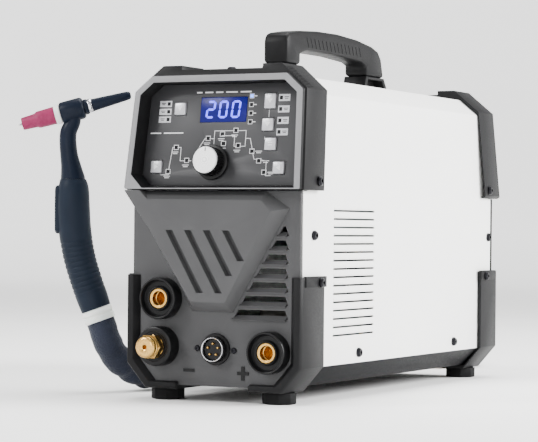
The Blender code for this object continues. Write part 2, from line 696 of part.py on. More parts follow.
def make_mains_switch_housing(frame, look):
    """A flanged shell that faces the rear, with a pocket for the rocker. Built facing -Y, then turned."""
    wide, tall = SWITCH_OPENING[0] / 2, SWITCH_OPENING[1] / 2
    flange = box((-wide - SWITCH_FLANGE, -0.0024, -tall - SWITCH_FLANGE),
                 (wide + SWITCH_FLANGE, -GAP - 0.0001, tall + SWITCH_FLANGE))
    shell = finish(flange, "mains_switch_housing", look, rear_plate_place(), REAR_TILT, frame)
    boolean(shell, box((-wide + 0.0006, -0.0012, -tall + 0.0006), (wide - 0.0006, 0.022, tall - 0.0006)),
            "UNION")
    pocket_wide, pocket_tall = wide - 0.0024, ROCKER_RADIUS + 0.0006
    return boolean(shell, box((-pocket_wide, -0.01, -pocket_tall), (pocket_wide, 0.0150, pocket_tall)))


def make_mains_switch_rocker(frame, look):
    """A rocker on a cross pin: a round back that clears its pocket and a hollow face, tipped to off."""
    half = SWITCH_OPENING[0] / 2 - 0.0028
    arc = [math.radians(a) for a in range(-8, 189, 14)]
    outline = [(ROCKER_RADIUS * math.sin(a), ROCKER_RADIUS * math.cos(a)) for a in arc]
    outline.append((-0.0008, 0.0))
    bm = prism(outline, -half, half, "x")
    bmesh.ops.rotate(bm, verts=bm.verts, matrix=Matrix.Rotation(ROCKER_TILT, 3, "X"))
    x, y, z = rear_plate_place()
    y -= SWITCH_PIVOT_DEPTH
    return finish(bm, "mains_switch_rocker", look, (x, y, z), REAR_TILT, frame)


# ---------------------------------------------------------------- sockets

def make_socket_collar(name, place, frame, look):
    back = PANEL_FACE - GAP
    bore = INSERT_RADIUS + FIT
    profile = [(bore, -INSERT_FRONT + 0.001), (COLLAR_RADIUS - 0.0065, -COLLAR_FRONT),
               (COLLAR_RADIUS - 0.001, -COLLAR_FRONT), (COLLAR_RADIUS, -COLLAR_FRONT - 0.001),
               (COLLAR_RADIUS, -back), (COLLAR_NECK, -back), (COLLAR_NECK, -SOCKET_BACK),
               (bore, -SOCKET_BACK)]
    return finish(turned(profile), name, look, (place[0], 0, place[1]), parent=frame, smooth=40)


def make_socket_insert(name, place, frame, look):
    front, back = -INSERT_FRONT, -(SOCKET_BACK + 0.008)
    profile = [(0, back), (INSERT_RADIUS, back), (INSERT_RADIUS, front - 0.0008),
               (INSERT_RADIUS - 0.0008, front),
               (INSERT_BORE + 0.0008, front), (INSERT_BORE, front - 0.0008), (INSERT_BORE, back + 0.010),
               (0, back + 0.010)]
    return finish(turned(profile), name, look, (place[0], 0, place[1]), parent=frame, smooth=40)


def make_gas_outlet_flange(frame, look):
    back, front, bore = -(PANEL_FACE - GAP), -GAS_FLANGE_FRONT, GAS_TAIL_RADIUS + FIT
    profile = [(bore, front), (GAS_FLANGE_RADIUS - 0.001, front), (GAS_FLANGE_RADIUS, front - 0.001),
               (GAS_FLANGE_RADIUS, back), (bore, back)]
    return finish(turned(profile), "gas_outlet_flange", look, (GAS_OUTLET[0], 0, GAS_OUTLET[1]),
                  parent=frame, smooth=40)


def make_gas_outlet_nipple(frame, look):
    seat = -GAS_FLANGE_FRONT + GAP
    face = seat + 0.0185
    profile = [(0, -0.022), (GAS_TAIL_RADIUS, -0.022), (GAS_TAIL_RADIUS, seat), (GAS_FACE_RADIUS, seat),
               (GAS_FACE_RADIUS, face - 0.0015), (GAS_FACE_RADIUS - 0.0015, face), (0, face)]
    nipple = finish(turned(profile), "gas_outlet_nipple", look, (GAS_OUTLET[0], 0, GAS_OUTLET[1]),
                    parent=frame, smooth=40)
    boolean(nipple, prism(circle((0, 0), GAS_NUT_RADIUS, 6), -seat - 0.0100, -seat - 0.0005), "UNION")
    return boolean(nipple, prism(circle((0, 0), GAS_BORE, 16), -face - 0.01, -face + 0.014))


def make_control_connector(frame, chrome, black):
    place = (CONTROL_SOCKET[0], 0, CONTROL_SOCKET[1])
    back, bore = -(PANEL_FACE - GAP), CONTROL_INSERT + FIT
    profile = [(bore, 0.003), (CONTROL_RADIUS - 0.0005, 0.003), (CONTROL_RADIUS, 0.0022),
               (CONTROL_RADIUS, back + 0.0025), (CONTROL_FLANGE, back + 0.0025), (CONTROL_FLANGE, back),
               (CONTROL_RADIUS, back), (CONTROL_RADIUS, -0.018), (bore, -0.018)]
    shell = finish(turned(profile), "control_connector_shell", chrome, place, parent=frame, smooth=40)
    core = [(0, -0.022), (CONTROL_INSERT, -0.022), (CONTROL_INSERT, -0.001), (0, -0.001)]
    insert = finish(turned(core), "control_connector_insert", black, place, parent=frame, smooth=40)
    return shell, insert


def make_rear_fittings(frame, brass, black):
    back = OVERALL_LENGTH - PANEL_FACE + GAP
    barb = [(0, -0.014), (GAS_TAIL_RADIUS, -0.014), (GAS_TAIL_RADIUS, GAP), (0.0090, GAP), (0.0090, 0.0080),
            (0.0048, 0.0080), (0.0042, 0.0130), (0.0052, 0.0135), (0.0042, 0.0180), (0.0052, 0.0185),
            (0.0040, 0.0260), (0.0020, 0.0260), (0.0020, 0.0050), (0, 0.0050)]
    inlet = finish(turned(barb), "gas_inlet", brass, (GAS_INLET[0], back, GAS_INLET[1]),
                   (0, 0, math.pi), frame, 40)
    gland_shape = [(GLAND_BORE, -0.014), (GLAND_NECK, -0.014), (GLAND_NECK, GAP), (0.0150, GAP),
                   (0.0150, 0.0070),
                   (0.0130, 0.0075), (0.0125, 0.0150), (0.0090, 0.0200), (GLAND_BORE, 0.0200)]
    gland = finish(turned(gland_shape), "cable_gland", black, (GLAND[0], back, GLAND[1]),
                   (0, 0, math.pi), frame, 40)
    return inlet, gland


# ---------------------------------------------------------------- handle

def make_handle_grip(frame, look):
    crown, under = HANDLE_CROWN, HANDLE_UNDERSIDE
    middle = (HANDLE_FRONT + HANDLE_REAR) / 2
    outline = [(HANDLE_FRONT, HANDLE_FOOT), (HANDLE_FRONT, crown - 0.0145),
               (HANDLE_FRONT + 0.0055, crown - 0.0080),
               (HANDLE_GAP_FRONT, crown - 0.0040), (middle - 0.045, crown - 0.0010), (middle + 0.005, crown),
               (middle + 0.055, crown - 0.0020), (HANDLE_REAR - 0.0325, crown - 0.0060),
               (HANDLE_REAR - 0.0155, crown - 0.0105), (HANDLE_REAR - 0.0070, crown - 0.0185),
               (HANDLE_REAR, HANDLE_FOOT), (HANDLE_GAP_REAR, HANDLE_FOOT), (HANDLE_GAP_REAR, under - 0.0060),
               (HANDLE_GAP_REAR - 0.0116, under - 0.0025), (middle + 0.005, under),
               (HANDLE_GAP_FRONT + 0.0155, under - 0.0005), (HANDLE_GAP_FRONT, under - 0.0050),
               (HANDLE_GAP_FRONT, HANDLE_FOOT)]
    grip = finish(prism(outline, -HANDLE_HALF_WIDTH, HANDLE_HALF_WIDTH, "x"), "handle_grip", look,
                  parent=frame)
    return bevel(grip, 0.004, 2)


def make_handle_bracket(name, top_front, top_rear, low_front, low_rear, frame, look):
    low, high = ROOF_HEIGHT + GAP, HANDLE_FOOT - GAP
    outline = [(low_front, low), (low_rear, low), (low_rear, low + 0.004), (top_rear, high),
               (top_front, high),
               (low_front, low + 0.004)]
    half = HANDLE_HALF_WIDTH - 0.0005
    bracket = finish(prism(outline, -half, half, "x"), name, look, parent=frame)
    inner = [(low_front + 0.006, low + 0.003), (low_rear - 0.006, low + 0.003),
             (top_rear - 0.005, high - 0.003),
             (top_front + 0.005, high - 0.003)]
    left = prism(inner, -half - 0.01, -BRACKET_WALL / 2, "x")
    right = prism(inner, BRACKET_WALL / 2, half + 0.01, "x")
    return boolean(bracket, join(left, right))


# ---------------------------------------------------------------- inside

def make_fan_frame(frame, look):
    rear = OVERALL_LENGTH - PANEL_FACE - PANEL_THICKNESS - GAP
    front = rear - FAN_THICKNESS
    half = FAN_SIDE / 2
    shell = finish(box((-half, front, FAN_HEIGHT - half), (half, rear, FAN_HEIGHT + half)), "fan_frame", look,
                   parent=frame)
    boolean(shell, prism(circle((0, FAN_HEIGHT), FAN_BORE), front + 0.0030, rear + 0.01))
    windows = []
    reach = FAN_BORE - 0.0008
    for k in range(3):
        start, end = math.tau * k / 3 + 0.12, math.tau * (k + 1) / 3 - 0.12
        angles = [start + (end - start) * i / 10 for i in range(11)]
        outline = [(reach * math.cos(a), FAN_HEIGHT + reach * math.sin(a)) for a in angles]
        outline += [(FAN_HUB * math.cos(a), FAN_HEIGHT + FAN_HUB * math.sin(a)) for a in reversed(angles)]
        windows.append(prism(outline, front - 0.01, front + 0.01))
    return boolean(shell, join(*windows))


def make_fan_rotor(frame, look):
    rear = OVERALL_LENGTH - PANEL_FACE - PANEL_THICKNESS - GAP
    front = rear - FAN_THICKNESS + 0.0036
    depth = rear - front - 0.0030
    hub = finish(turned([(0, -depth), (FAN_HUB, -depth), (FAN_HUB, 0), (0, 0)]), "fan_rotor", look,
                 (0, front, FAN_HEIGHT), parent=frame, smooth=40)
    tip = FAN_BORE - FAN_TIP_GAP
    parts = []
    for k in range(FAN_BLADES):
        turn = Matrix.Rotation(math.tau * k / FAN_BLADES, 3, "Y")
        sections = []
        for radius, pitch in ((FAN_HUB - 0.004, 55), (tip * 0.6, 42), (tip * 0.97, 32)):
            chord = 0.020 if radius < FAN_HUB else 0.030
            a = math.radians(pitch)
            half = min(chord / 2, (depth / 2 - 0.001) / math.sin(a))
            along = Vector((0, math.sin(a), math.cos(a))) * half
            across = Vector((0, math.cos(a), -math.sin(a))) * 0.0008
            centre = Vector((radius, depth / 2, 0))
            sections.append([turn @ (centre + p) for p in (along + across, across - along,
                                                           -along - across, along - across)])
        parts.append(loft(sections))
    return boolean(hub, join(*parts), "UNION")


def make_internals(frame, looks):
    floor = TRAY_BOTTOM + TRAY_THICKNESS + GAP
    board_low, board_end = 0.150, OVERALL_LENGTH - BOARD_TO_REAR
    board = finish(box((-0.078, 0.095, board_low), (0.078, board_end, board_low + 0.0016)), "main_board",
                   looks["board"], parent=frame)
    low = board_low + 0.0016 + GAP
    outline = [(-SINK_WIDTH / 2, low), (SINK_WIDTH / 2, low)]
    for i in range(SINK_FINS):
        right = SINK_WIDTH / 2 - i * (SINK_WIDTH - FIN_THICKNESS) / (SINK_FINS - 1)
        left = right - FIN_THICKNESS
        if i:
            outline.append((right, low + SINK_BASE))
        outline += [(right, low + SINK_HEIGHT), (left, low + SINK_HEIGHT)]
        if i < SINK_FINS - 1:
            outline.append((left, low + SINK_BASE))
    heat_sink = finish(prism(outline, 0.140, 0.320), "heat_sink", looks["aluminium"], parent=frame)
    core = finish(box((-0.052, 0.200, floor), (0.028, 0.290, floor + 0.075)), "transformer", looks["iron"],
                  parent=frame)
    bevel(core, 0.006, 2)
    middle = OVERALL_LENGTH - VALVE_TO_REAR
    block = box((-0.066, middle - 0.0225, floor), (-0.038, middle + 0.0225, floor + 0.034))
    valve = finish(block, "gas_valve", looks["brass"], parent=frame)
    boolean(valve, prism(circle((-0.052, middle), 0.012, 20), floor + 0.030, floor + 0.058, "z"), "UNION")
    return board, heat_sink, core, valve


# ---------------------------------------------------------------- torch

def head_piece(name, profile, torch, look, place_along=0.0):
    """A piece turned on the torch head's axis; heights run from the cup towards the back cap."""
    u, z = HEAD_CENTRE
    location = (u + place_along * math.cos(HEAD_TILT), 0, z + place_along * math.sin(HEAD_TILT))
    return finish(turned(profile, "x", 28), name, look, location, (0, -HEAD_TILT, 0), torch, 40)


def make_torch_head_pieces(torch, looks):
    root, tip = CUP_ROOT, CUP_ROOT - CUP_LENGTH
    step = tip + 0.016
    cup = [(CUP_BORE, root), (CUP_BORE, tip), (CUP_TIP_RADIUS, tip), (CUP_TIP_RADIUS + 0.001, step),
           (CUP_ROOT_RADIUS - 0.0006, step + 0.001), (CUP_ROOT_RADIUS, root)]
    head_piece("torch_cup", cup, torch, looks["alumina"])
    start, end = root + GAP, root + INSULATOR_LENGTH
    ring = [(ELECTRODE_RADIUS + 0.0004, start), (CUP_ROOT_RADIUS + 0.0008, start),
            (CUP_ROOT_RADIUS + 0.0008, end), (ELECTRODE_RADIUS + 0.0004, end)]
    head_piece("torch_insulator", ring, torch, looks["white"])
    rod = [(0, tip - 0.004), (ELECTRODE_RADIUS, tip - 0.001), (ELECTRODE_RADIUS, end), (0, end)]
    head_piece("torch_electrode", rod, torch, looks["steel"])
    cap_end = CAP_START + CAP_LENGTH
    cap = [(0, CAP_START + GAP), (0.0078, CAP_START + GAP), (0.0078, CAP_START + 0.004),
           (0.0068, CAP_START + 0.0055), (0.0045, cap_end - 0.004), (0.0032, cap_end - 0.001), (0, cap_end)]
    head_piece("torch_back_cap", cap, torch, looks["navy"])
    return end


def make_torch_body(torch, look, head_start):
    """The insulated head and the bent neck that runs down into the handle."""
    head = [(0, head_start + GAP), (0.0100, head_start + GAP), (0.0114, head_start + 0.002),
            (0.0114, CAP_START - 0.003), (0.0098, CAP_START), (0, CAP_START)]
    body = head_piece("torch_body", head, torch, look)
    top = HANDLE_PATH[0]
    route = [(HEAD_CENTRE[0] + 0.002, HEAD_CENTRE[1] - 0.002, 0.0074), *NECK_PATH,
             (top[0], top[1] + GAP, 0.0128)]
    turn = Matrix.Rotation(HEAD_TILT, 3, "Y")
    centre = Vector((HEAD_CENTRE[0], 0, HEAD_CENTRE[1]))
    sections = [[turn @ (Vector((u + r * math.cos(math.tau * k / 24), r * math.sin(math.tau * k / 24),
                                 z)) - centre)
                 for k in range(24)] for u, z, r in route]
    return boolean(body, loft(sections), "UNION")


def handle_sections(path, sides=28):
    """Round sections square to a path in the torch's plane."""
    sections = []
    for i, (u, z, radius) in enumerate(path):
        before, after = path[max(i - 1, 0)], path[min(i + 1, len(path) - 1)]
        along = Vector((after[0] - before[0], 0, after[1] - before[1])).normalized()
        if i == 0:
            along = Vector((0, 0, -1))
        across = along.cross(Vector((0, 1, 0))).normalized()
        sections.append([Vector((u, 0, z)) + across * (radius * math.cos(math.tau * k / sides))
                         + Vector((0, 1, 0)) * (radius * math.sin(math.tau * k / sides))
                         for k in range(sides)])
    return sections


def make_torch_handle(torch, look):
    handle = finish(loft(handle_sections(HANDLE_PATH)), "torch_handle", look, parent=torch, smooth=40)
    spare = 0.0005
    outline = rounded_slot(TRIGGER_WIDTH / 2 + spare, TRIGGER_LENGTH / 2 + spare)
    pocket = prism(outline, -0.030, TRIGGER_BACK + TRIGGER_TRAVEL + spare, "x")
    bmesh.ops.translate(pocket, verts=pocket.verts, vec=(0, 0, TRIGGER_HEIGHT))
    return boolean(handle, pocket)


def rounded_slot(half_wide, half_long, steps=8):
    points = []
    for centre, start in ((half_long - half_wide, 0.0), (half_wide - half_long, math.pi)):
        for k in range(steps + 1):
            a = start + math.pi * k / steps
            points.append((half_wide * math.cos(a), centre + half_wide * math.sin(a)))
    return points


def make_torch_trigger(torch, look):
    outline = rounded_slot(TRIGGER_WIDTH / 2, TRIGGER_LENGTH / 2)
    bm = prism(outline, -TRIGGER_THICKNESS, 0, "x")
    trigger = finish(bm, "torch_trigger", look, (TRIGGER_BACK, 0, TRIGGER_HEIGHT), parent=torch)
    return bevel(trigger, 0.0012, 2)


def end_direction():
    (u1, z1, _), (u2, z2, _) = HANDLE_PATH[-2], HANDLE_PATH[-1]
    return Vector((u2 - u1, 0, z2 - z1)).normalized()


def make_torch_collar(torch, look):
    along = end_direction()
    u, z, _ = HANDLE_PATH[-1]
    start = Vector((u, 0, z)) + along * GAP
    across = along.cross(Vector((0, 1, 0))).normalized()
    rings = []
    for distance, radius in ((0, 0.0150), (0.001, COLLAR_RING_RADIUS),
                             (COLLAR_LENGTH - 0.001, COLLAR_RING_RADIUS),
                             (COLLAR_LENGTH, 0.0152)):
        rings.append([start + along * distance + across * (radius * math.cos(math.tau * k / 28))
                      + Vector((0, 1, 0)) * (radius * math.sin(math.tau * k / 28)) for k in range(28)])
    return finish(loft(rings), "torch_collar", look, parent=torch, smooth=40)


def collar_end(torch_matrix):
    """Where the lead leaves the collar, and its direction, in the machine's frame."""
    u, z, _ = HANDLE_PATH[-1]
    local = Vector((u, 0, z)) + end_direction() * (COLLAR_LENGTH + 2 * GAP)
    return torch_matrix @ local, torch_matrix.to_3x3() @ end_direction()


# ---------------------------------------------------------------- lead

def make_lead(frame, torch_matrix, looks):
    start, along = collar_end(torch_matrix)
    route = [start, start + along * 0.008] + [Vector(p) for p in SLEEVE_ROUTE]
    tube("hose_sleeve", route, SLEEVE_DIAMETER, looks["leather"], frame)
    end, before = Vector(SLEEVE_ROUTE[-1]), Vector(SLEEVE_ROUTE[-2])
    heading = (end - before).normalized()
    cuff_start = end + heading * GAP
    turn = Euler((0, 0, math.atan2(heading.y, heading.x) - math.radians(90)))
    profile = [(0, 0), (SLEEVE_DIAMETER / 2, 0), (SLEEVE_DIAMETER / 2, -0.009), (0.0095, -CUFF_LENGTH),
               (0, -CUFF_LENGTH)]
    finish(turned(profile), "sleeve_cuff", looks["rubber"], cuff_start, turn, frame, 40)
    hose_start = cuff_start + heading * (CUFF_LENGTH + GAP)
    route = [hose_start, hose_start + heading * 0.006] + [Vector(p) for p in HOSE_ROUTE]
    tube("torch_hose", route, HOSE_DIAMETER, looks["hose"], frame)
    inner = COIL_MIDDLE - COIL_STRANDS * HOSE_DIAMETER / 2
    ring = [(inner, 0.0006), (coil_outer(), 0.0006), (coil_outer(), COIL_HEIGHT), (inner, COIL_HEIGHT)]
    finish(turned(ring, "z", 48), "hose_coil", looks["hose"], (*COIL_CENTRE, 0), parent=frame, smooth=40)
    make_plugs(frame, looks)


def coil_outer():
    return COIL_MIDDLE + COIL_STRANDS * HOSE_DIAMETER / 2


def make_plugs(frame, looks):
    """The weld plug and the control plug, lying beside the coil and pointing to the front."""
    x = COIL_CENTRE[0] + coil_outer() + GAP + PLUG_RADIUS
    y = COIL_CENTRE[1]
    body = [(0, 0), (0.0095, 0), (PLUG_RADIUS, 0.012), (PLUG_RADIUS, 0.040), (0.0110, 0.043),
            (0.0064, 0.043), (0.0064, PLUG_LENGTH - 0.002), (0.0050, PLUG_LENGTH), (0, PLUG_LENGTH)]
    finish(turned(body), "weld_plug", looks["rubber"], (x, y, PLUG_RADIUS + 0.0003), parent=frame, smooth=40)
    small = [(0, 0), (0.0050, 0), (0.0085, 0.010), (0.0085, 0.030), (0.0100, 0.030), (0.0100, 0.042),
             (0, 0.042)]
    finish(turned(small), "control_plug", looks["plastic"], (x + 0.026, y - 0.006, 0.0104), parent=frame,
           smooth=40)


# ---------------------------------------------------------------- assembly

def make_looks():
    return {
        "white_paint": make_material("white_powder_coat", "ececea", 0.45),
        "dark": make_material("dark_moulded_plastic", "48484a", 0.5),
        "panel": make_material("grey_moulded_plastic", "6e6e70", 0.45),
        "tray": make_material("dark_powder_coat", "4c4c4e", 0.55),
        "membrane": make_material("panel_film", "58585a", 0.4),
        "window": make_material("display_acrylic", "1a1a6c", 0.15),
        "silver": make_material("silver_button_plastic", "c8c8cc", 0.35),
        "black": make_material("black_plastic", "18181a", 0.4),
        "brass": make_material("brass", "c8a050", 0.3, 1.0),
        "chrome": make_material("chrome_plate", "d8d8da", 0.15, 1.0),
        "rubber": make_material("black_rubber", "1c1c1c", 0.7),
        "board": make_material("circuit_board", "1e6038", 0.5),
        "aluminium": make_material("aluminium", "b8bcc0", 0.35, 1.0),
        "iron": make_material("laminated_iron", "5a5a60", 0.5, 0.8),
        "alumina": make_material("pink_alumina", "c05078", 0.5),
        "white": make_material("white_insulator", "e8e8e4", 0.4),
        "steel": make_material("tungsten", "a8a8a8", 0.3, 1.0),
        "navy": make_material("torch_plastic", "1c2230", 0.4),
        "leather": make_material("leather_cover", "2c3040", 0.7),
        "hose": make_material("hose_rubber", "202226", 0.6),
        "plastic": make_material("plug_plastic", "2a2a2c", 0.5),
    }


def make_case(frame, looks):
    make_base_tray(frame, looks["tray"])
    make_case_cover(frame, looks["white_paint"])
    make_front_panel(frame, looks["panel"])
    make_vent_cowl(frame, looks["panel"])
    make_rear_panel(frame, looks["tray"])
    for end, rear in (("front", False), ("rear", True)):
        make_upper_guard(f"upper_guard_{end}", rear, frame, looks["dark"])
        for side, mirror in (("left", True), ("right", False)):
            guard_name = f"lower_guard_{end}_{side}"
            make_lower_guard(guard_name, rear, mirror != rear, frame, looks["dark"])
            x = -FOOT_X if mirror else FOOT_X
            y = OVERALL_LENGTH - FOOT_Y if rear else FOOT_Y
            make_foot(f"foot_{end}_{side}", x, y, frame, looks["rubber"])


def make_controls(frame, looks):
    make_control_panel(frame, looks["membrane"])
    make_display_window(frame, looks["window"])
    for name, (x, z, height) in BUTTONS.items():
        make_button(name, x, z, height, frame, looks["silver"])
    make_encoder_knob(frame, looks["black"])
    make_rear_switch_plate(frame, looks["membrane"])
    make_mains_switch_housing(frame, looks["black"])
    make_mains_switch_rocker(frame, looks["black"])


def make_sockets(frame, looks):
    for side, place in SOCKETS.items():
        make_socket_collar(f"weld_socket_collar_{side}", place, frame, looks["black"])
        make_socket_insert(f"weld_socket_insert_{side}", place, frame, looks["brass"])
    make_gas_outlet_flange(frame, looks["black"])
    make_gas_outlet_nipple(frame, looks["brass"])
    make_control_connector(frame, looks["chrome"], looks["black"])
    make_rear_fittings(frame, looks["brass"], looks["black"])


def make_torch(frame, looks):
    torch = bpy.data.objects.new("torch_frame", None)
    torch.location = (*TORCH_PLACE, 0)
    torch.rotation_euler = (0, 0, TORCH_TURN)
    torch.parent = frame
    bpy.context.collection.objects.link(torch)
    head_start = make_torch_head_pieces(torch, looks)
    make_torch_body(torch, looks["navy"], head_start)
    make_torch_handle(torch, looks["navy"])
    make_torch_trigger(torch, looks["black"])
    make_torch_collar(torch, looks["white"])
    make_lead(frame, Matrix.Translation((*TORCH_PLACE, 0)) @ Matrix.Rotation(TORCH_TURN, 4, "Z"), looks)


def centre_footprint(frame):
    """Slide everything so that the footprint, without the lead, is centred on the origin."""
    graph = bpy.context.evaluated_depsgraph_get()
    points = []
    for obj in bpy.data.objects:
        if obj.type == "MESH" and not obj.hide_render and obj.name not in LEAD_NODES:
            shaped = obj.evaluated_get(graph)
            points += [shaped.matrix_world @ vert.co for vert in shaped.data.vertices]
    for axis in (0, 1):
        low, high = min(p[axis] for p in points), max(p[axis] for p in points)
        frame.location[axis] = -(low + high) / 2


def main():
    clear_scene()
    frame = bpy.data.objects.new("machine_frame", None)
    bpy.context.collection.objects.link(frame)
    looks = make_looks()
    make_case(frame, looks)
    make_controls(frame, looks)
    make_sockets(frame, looks)
    make_handle_grip(frame, looks["dark"])
    make_handle_bracket("handle_bracket_front", HANDLE_FRONT, HANDLE_GAP_FRONT, HANDLE_FRONT - BRACKET_SPREAD,
                        HANDLE_GAP_FRONT + 0.006, frame, looks["dark"])
    make_handle_bracket("handle_bracket_rear", HANDLE_GAP_REAR, HANDLE_REAR, HANDLE_GAP_REAR - 0.006,
                        HANDLE_REAR + BRACKET_SPREAD, frame, looks["dark"])
    make_fan_frame(frame, looks["black"])
    make_fan_rotor(frame, looks["black"])
    make_internals(frame, looks)
    make_torch(frame, looks)
    centre_footprint(frame)


main()
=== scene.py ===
import math

import bmesh
import bpy
from mathutils import Matrix, Vector


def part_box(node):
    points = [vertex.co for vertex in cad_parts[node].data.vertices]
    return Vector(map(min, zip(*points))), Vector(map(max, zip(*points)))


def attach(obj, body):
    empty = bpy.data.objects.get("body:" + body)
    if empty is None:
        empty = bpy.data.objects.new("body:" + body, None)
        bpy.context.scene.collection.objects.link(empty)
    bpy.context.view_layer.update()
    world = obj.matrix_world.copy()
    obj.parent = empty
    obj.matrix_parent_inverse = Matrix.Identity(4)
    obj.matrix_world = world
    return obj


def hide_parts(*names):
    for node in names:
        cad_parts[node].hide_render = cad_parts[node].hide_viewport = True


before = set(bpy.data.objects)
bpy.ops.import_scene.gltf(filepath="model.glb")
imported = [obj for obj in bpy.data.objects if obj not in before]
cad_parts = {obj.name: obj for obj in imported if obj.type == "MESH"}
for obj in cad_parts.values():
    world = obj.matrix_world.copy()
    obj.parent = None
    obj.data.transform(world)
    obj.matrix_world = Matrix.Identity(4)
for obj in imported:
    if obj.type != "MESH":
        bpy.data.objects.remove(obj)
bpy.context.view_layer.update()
print("frame loaded")

# The machine is drawn from its own origin: x 0 is its middle and y 0 is the rim of the lower front guards.
# Each finished mesh is then moved into the frame by machineShift, which comes from the front panel's place.
panelLow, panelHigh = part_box("front_panel")
panelBehindRim = 0.0064
machineShift = Vector(((panelLow.x + panelHigh.x) / 2, panelLow.y - panelBehindRim, 0))
caseLength = 0.520
lean = 0.14                      # the upper guards and the panel lean back this much per metre of height
leanAngle = math.atan(lean)
plateFace = 0.0203               # the panel plate's face, behind the leaning rim
rimProud = 0.006
leanFoot = 0.211


def rimAt(z):
    return lean * (z - leanFoot) - rimProud


def panelMatrix(x, z, out=0.0):
    # local axes on the control panel: X right, -Y out of the panel, Z up along it
    tilt = Matrix.Rotation(-leanAngle, 4, "X")
    spot = Vector((x, rimAt(z) + plateFace, z)) + tilt.to_3x3() @ Vector((0, -out, 0))
    return Matrix.Translation(spot) @ tilt


torchMatrix = Matrix.Translation((-0.188, 0.0455, 0)) @ Matrix.Rotation(math.radians(27), 4, "Z")
headTurn = Matrix.Rotation(-math.radians(15.7), 4, "Y")
headMatrix = torchMatrix @ Matrix.Translation((-0.0035, 0, 0.2897)) @ headTurn
turnForward = Matrix.Rotation(math.radians(90), 4, "X")      # a lathe's axis, turned to the front

# ---- camera, floor and light

cameraLook = {"place": (1.0019, -1.8501, 0.1701), "yaw": 26.94, "pitch": 0.206, "roll": 0.549, "lens": 144.5}


def makeCamera():
    camera = bpy.data.cameras.new("camera")
    camera.lens = cameraLook["lens"]
    camera.clip_end = 50
    cameraObject = bpy.data.objects.new("camera", camera)
    yaw, pitch = math.radians(cameraLook["yaw"]), math.radians(cameraLook["pitch"])
    roll = math.radians(cameraLook["roll"])
    ahead = Vector((-math.sin(yaw) * math.cos(pitch), math.cos(yaw) * math.cos(pitch), math.sin(pitch)))
    level = Vector((math.cos(yaw), math.sin(yaw), 0))
    above = level.cross(ahead)
    right = level * math.cos(roll) + above * math.sin(roll)
    up = above * math.cos(roll) - level * math.sin(roll)
    turn = Matrix((right, up, -ahead)).transposed().to_4x4()
    cameraObject.matrix_world = Matrix.Translation(Vector(cameraLook["place"]) + machineShift) @ turn
    bpy.context.scene.collection.objects.link(cameraObject)
    bpy.context.scene.camera = cameraObject


makeCamera()
print("camera set")

# ---- nodes and materials


def linearColour(hexValue):
    channels = [int(hexValue[i:i + 2], 16) / 255 for i in (0, 2, 4)]
    return [c / 12.92 if c <= 0.04045 else ((c + 0.055) / 1.055) ** 2.4 for c in channels] + [1.0]


def addNode(tree, kind, inputs=None, **settings):
    node = tree.nodes.new(kind)
    for key, value in settings.items():
        setattr(node, key, value)
    for socket, value in (inputs or {}).items():
        if isinstance(value, bpy.types.NodeSocket):
            tree.links.new(value, node.inputs[socket])
        else:
            node.inputs[socket].default_value = value
    return node


def startMaterial(name, **uniform):
    # uniform values go straight on the shader's own sockets
    material = bpy.data.materials.new(name)
    material.use_nodes = True
    tree = material.node_tree
    shader = tree.nodes["Principled BSDF"]
    for key, value in uniform.items():
        shader.inputs[key.replace("_", " ")].default_value = value
    coords = addNode(tree, "ShaderNodeTexCoord").outputs["Object"]
    return material, tree, shader, coords


def spots(tree, coords, sizeMm, detail):
    # a noise whose blotches are about sizeMm across
    noise = addNode(tree, "ShaderNodeTexNoise", {"Vector": coords, "Scale": 1000 / sizeMm, "Detail": detail})
    return noise.outputs["Fac"]


def between(tree, factor, low, high, fromLow=0.3, fromHigh=0.7):
    return addNode(tree, "ShaderNodeMapRange", {"Value": factor, "From Min": fromLow, "From Max": fromHigh,
                                                "To Min": low, "To Max": high}).outputs["Result"]


def blendTones(tree, factor, first, second):
    mix = addNode(tree, "ShaderNodeMix", {0: factor, 6: linearColour(first), 7: linearColour(second)},
                  data_type="RGBA")
    return mix.outputs[2]


def bumps(tree, height, distanceMm, strength=1.0, normal=None):
    inputs = {"Height": height, "Distance": distanceMm / 1000, "Strength": strength}
    if normal is not None:
        inputs["Normal"] = normal
    return addNode(tree, "ShaderNodeBump", inputs).outputs["Normal"]


def join(tree, shader, colour=None, roughness=None, normal=None):
    for socket, value in (("Base Color", colour), ("Roughness", roughness), ("Normal", normal)):
        if value is not None:
            tree.links.new(value, shader.inputs[socket])


# Moulded ABS with a spark-eroded mould: a fine pebble that scatters the light into a soft grey sheen.
mouldedGrains = {
    "guardAbs": {"tones": ("131314", "1b1b1c"), "rough": (0.38, 0.52), "grainMm": 0.9, "depthMm": 0.07},
    "frontPanelAbs": {"tones": ("3c3c3d", "474748"), "rough": (0.30, 0.42), "grainMm": 1.0, "depthMm": 0.05},
    "cowlAbs": {"tones": ("414142", "4c4c4d"), "rough": (0.28, 0.40), "grainMm": 1.0, "depthMm": 0.05},
    # a paler copy of the guard plastic: a painted highlight for the rim's lit front faces
    "rimPaintedHighlight": {"tones": ("747476", "828284"), "rough": (0.34, 0.44), "grainMm": 0.8, "depthMm": 0.04},
    "handleAbs": {"tones": ("101011", "171718"), "rough": (0.36, 0.50), "grainMm": 0.9, "depthMm": 0.08},
    "socketNylon": {"tones": ("0b0b0c", "111112"), "rough": (0.28, 0.40), "grainMm": 0.7, "depthMm": 0.02,
                    "shine": 0.16},
    "fanNylon": {"tones": ("141415", "1a1a1b"), "rough": (0.40, 0.52), "grainMm": 1.2, "depthMm": 0.03},
    "torchPhenolic": {"tones": ("0d121c", "141b28"), "rough": (0.26, 0.40), "grainMm": 0.8, "depthMm": 0.03},
    "torchGripNylon": {"tones": ("10161f", "18202c"), "rough": (0.38, 0.52), "grainMm": 0.8, "depthMm": 0.06},
    "plugNylon": {"tones": ("1c1c1e", "262628"), "rough": (0.36, 0.50), "grainMm": 0.9, "depthMm": 0.05},
}


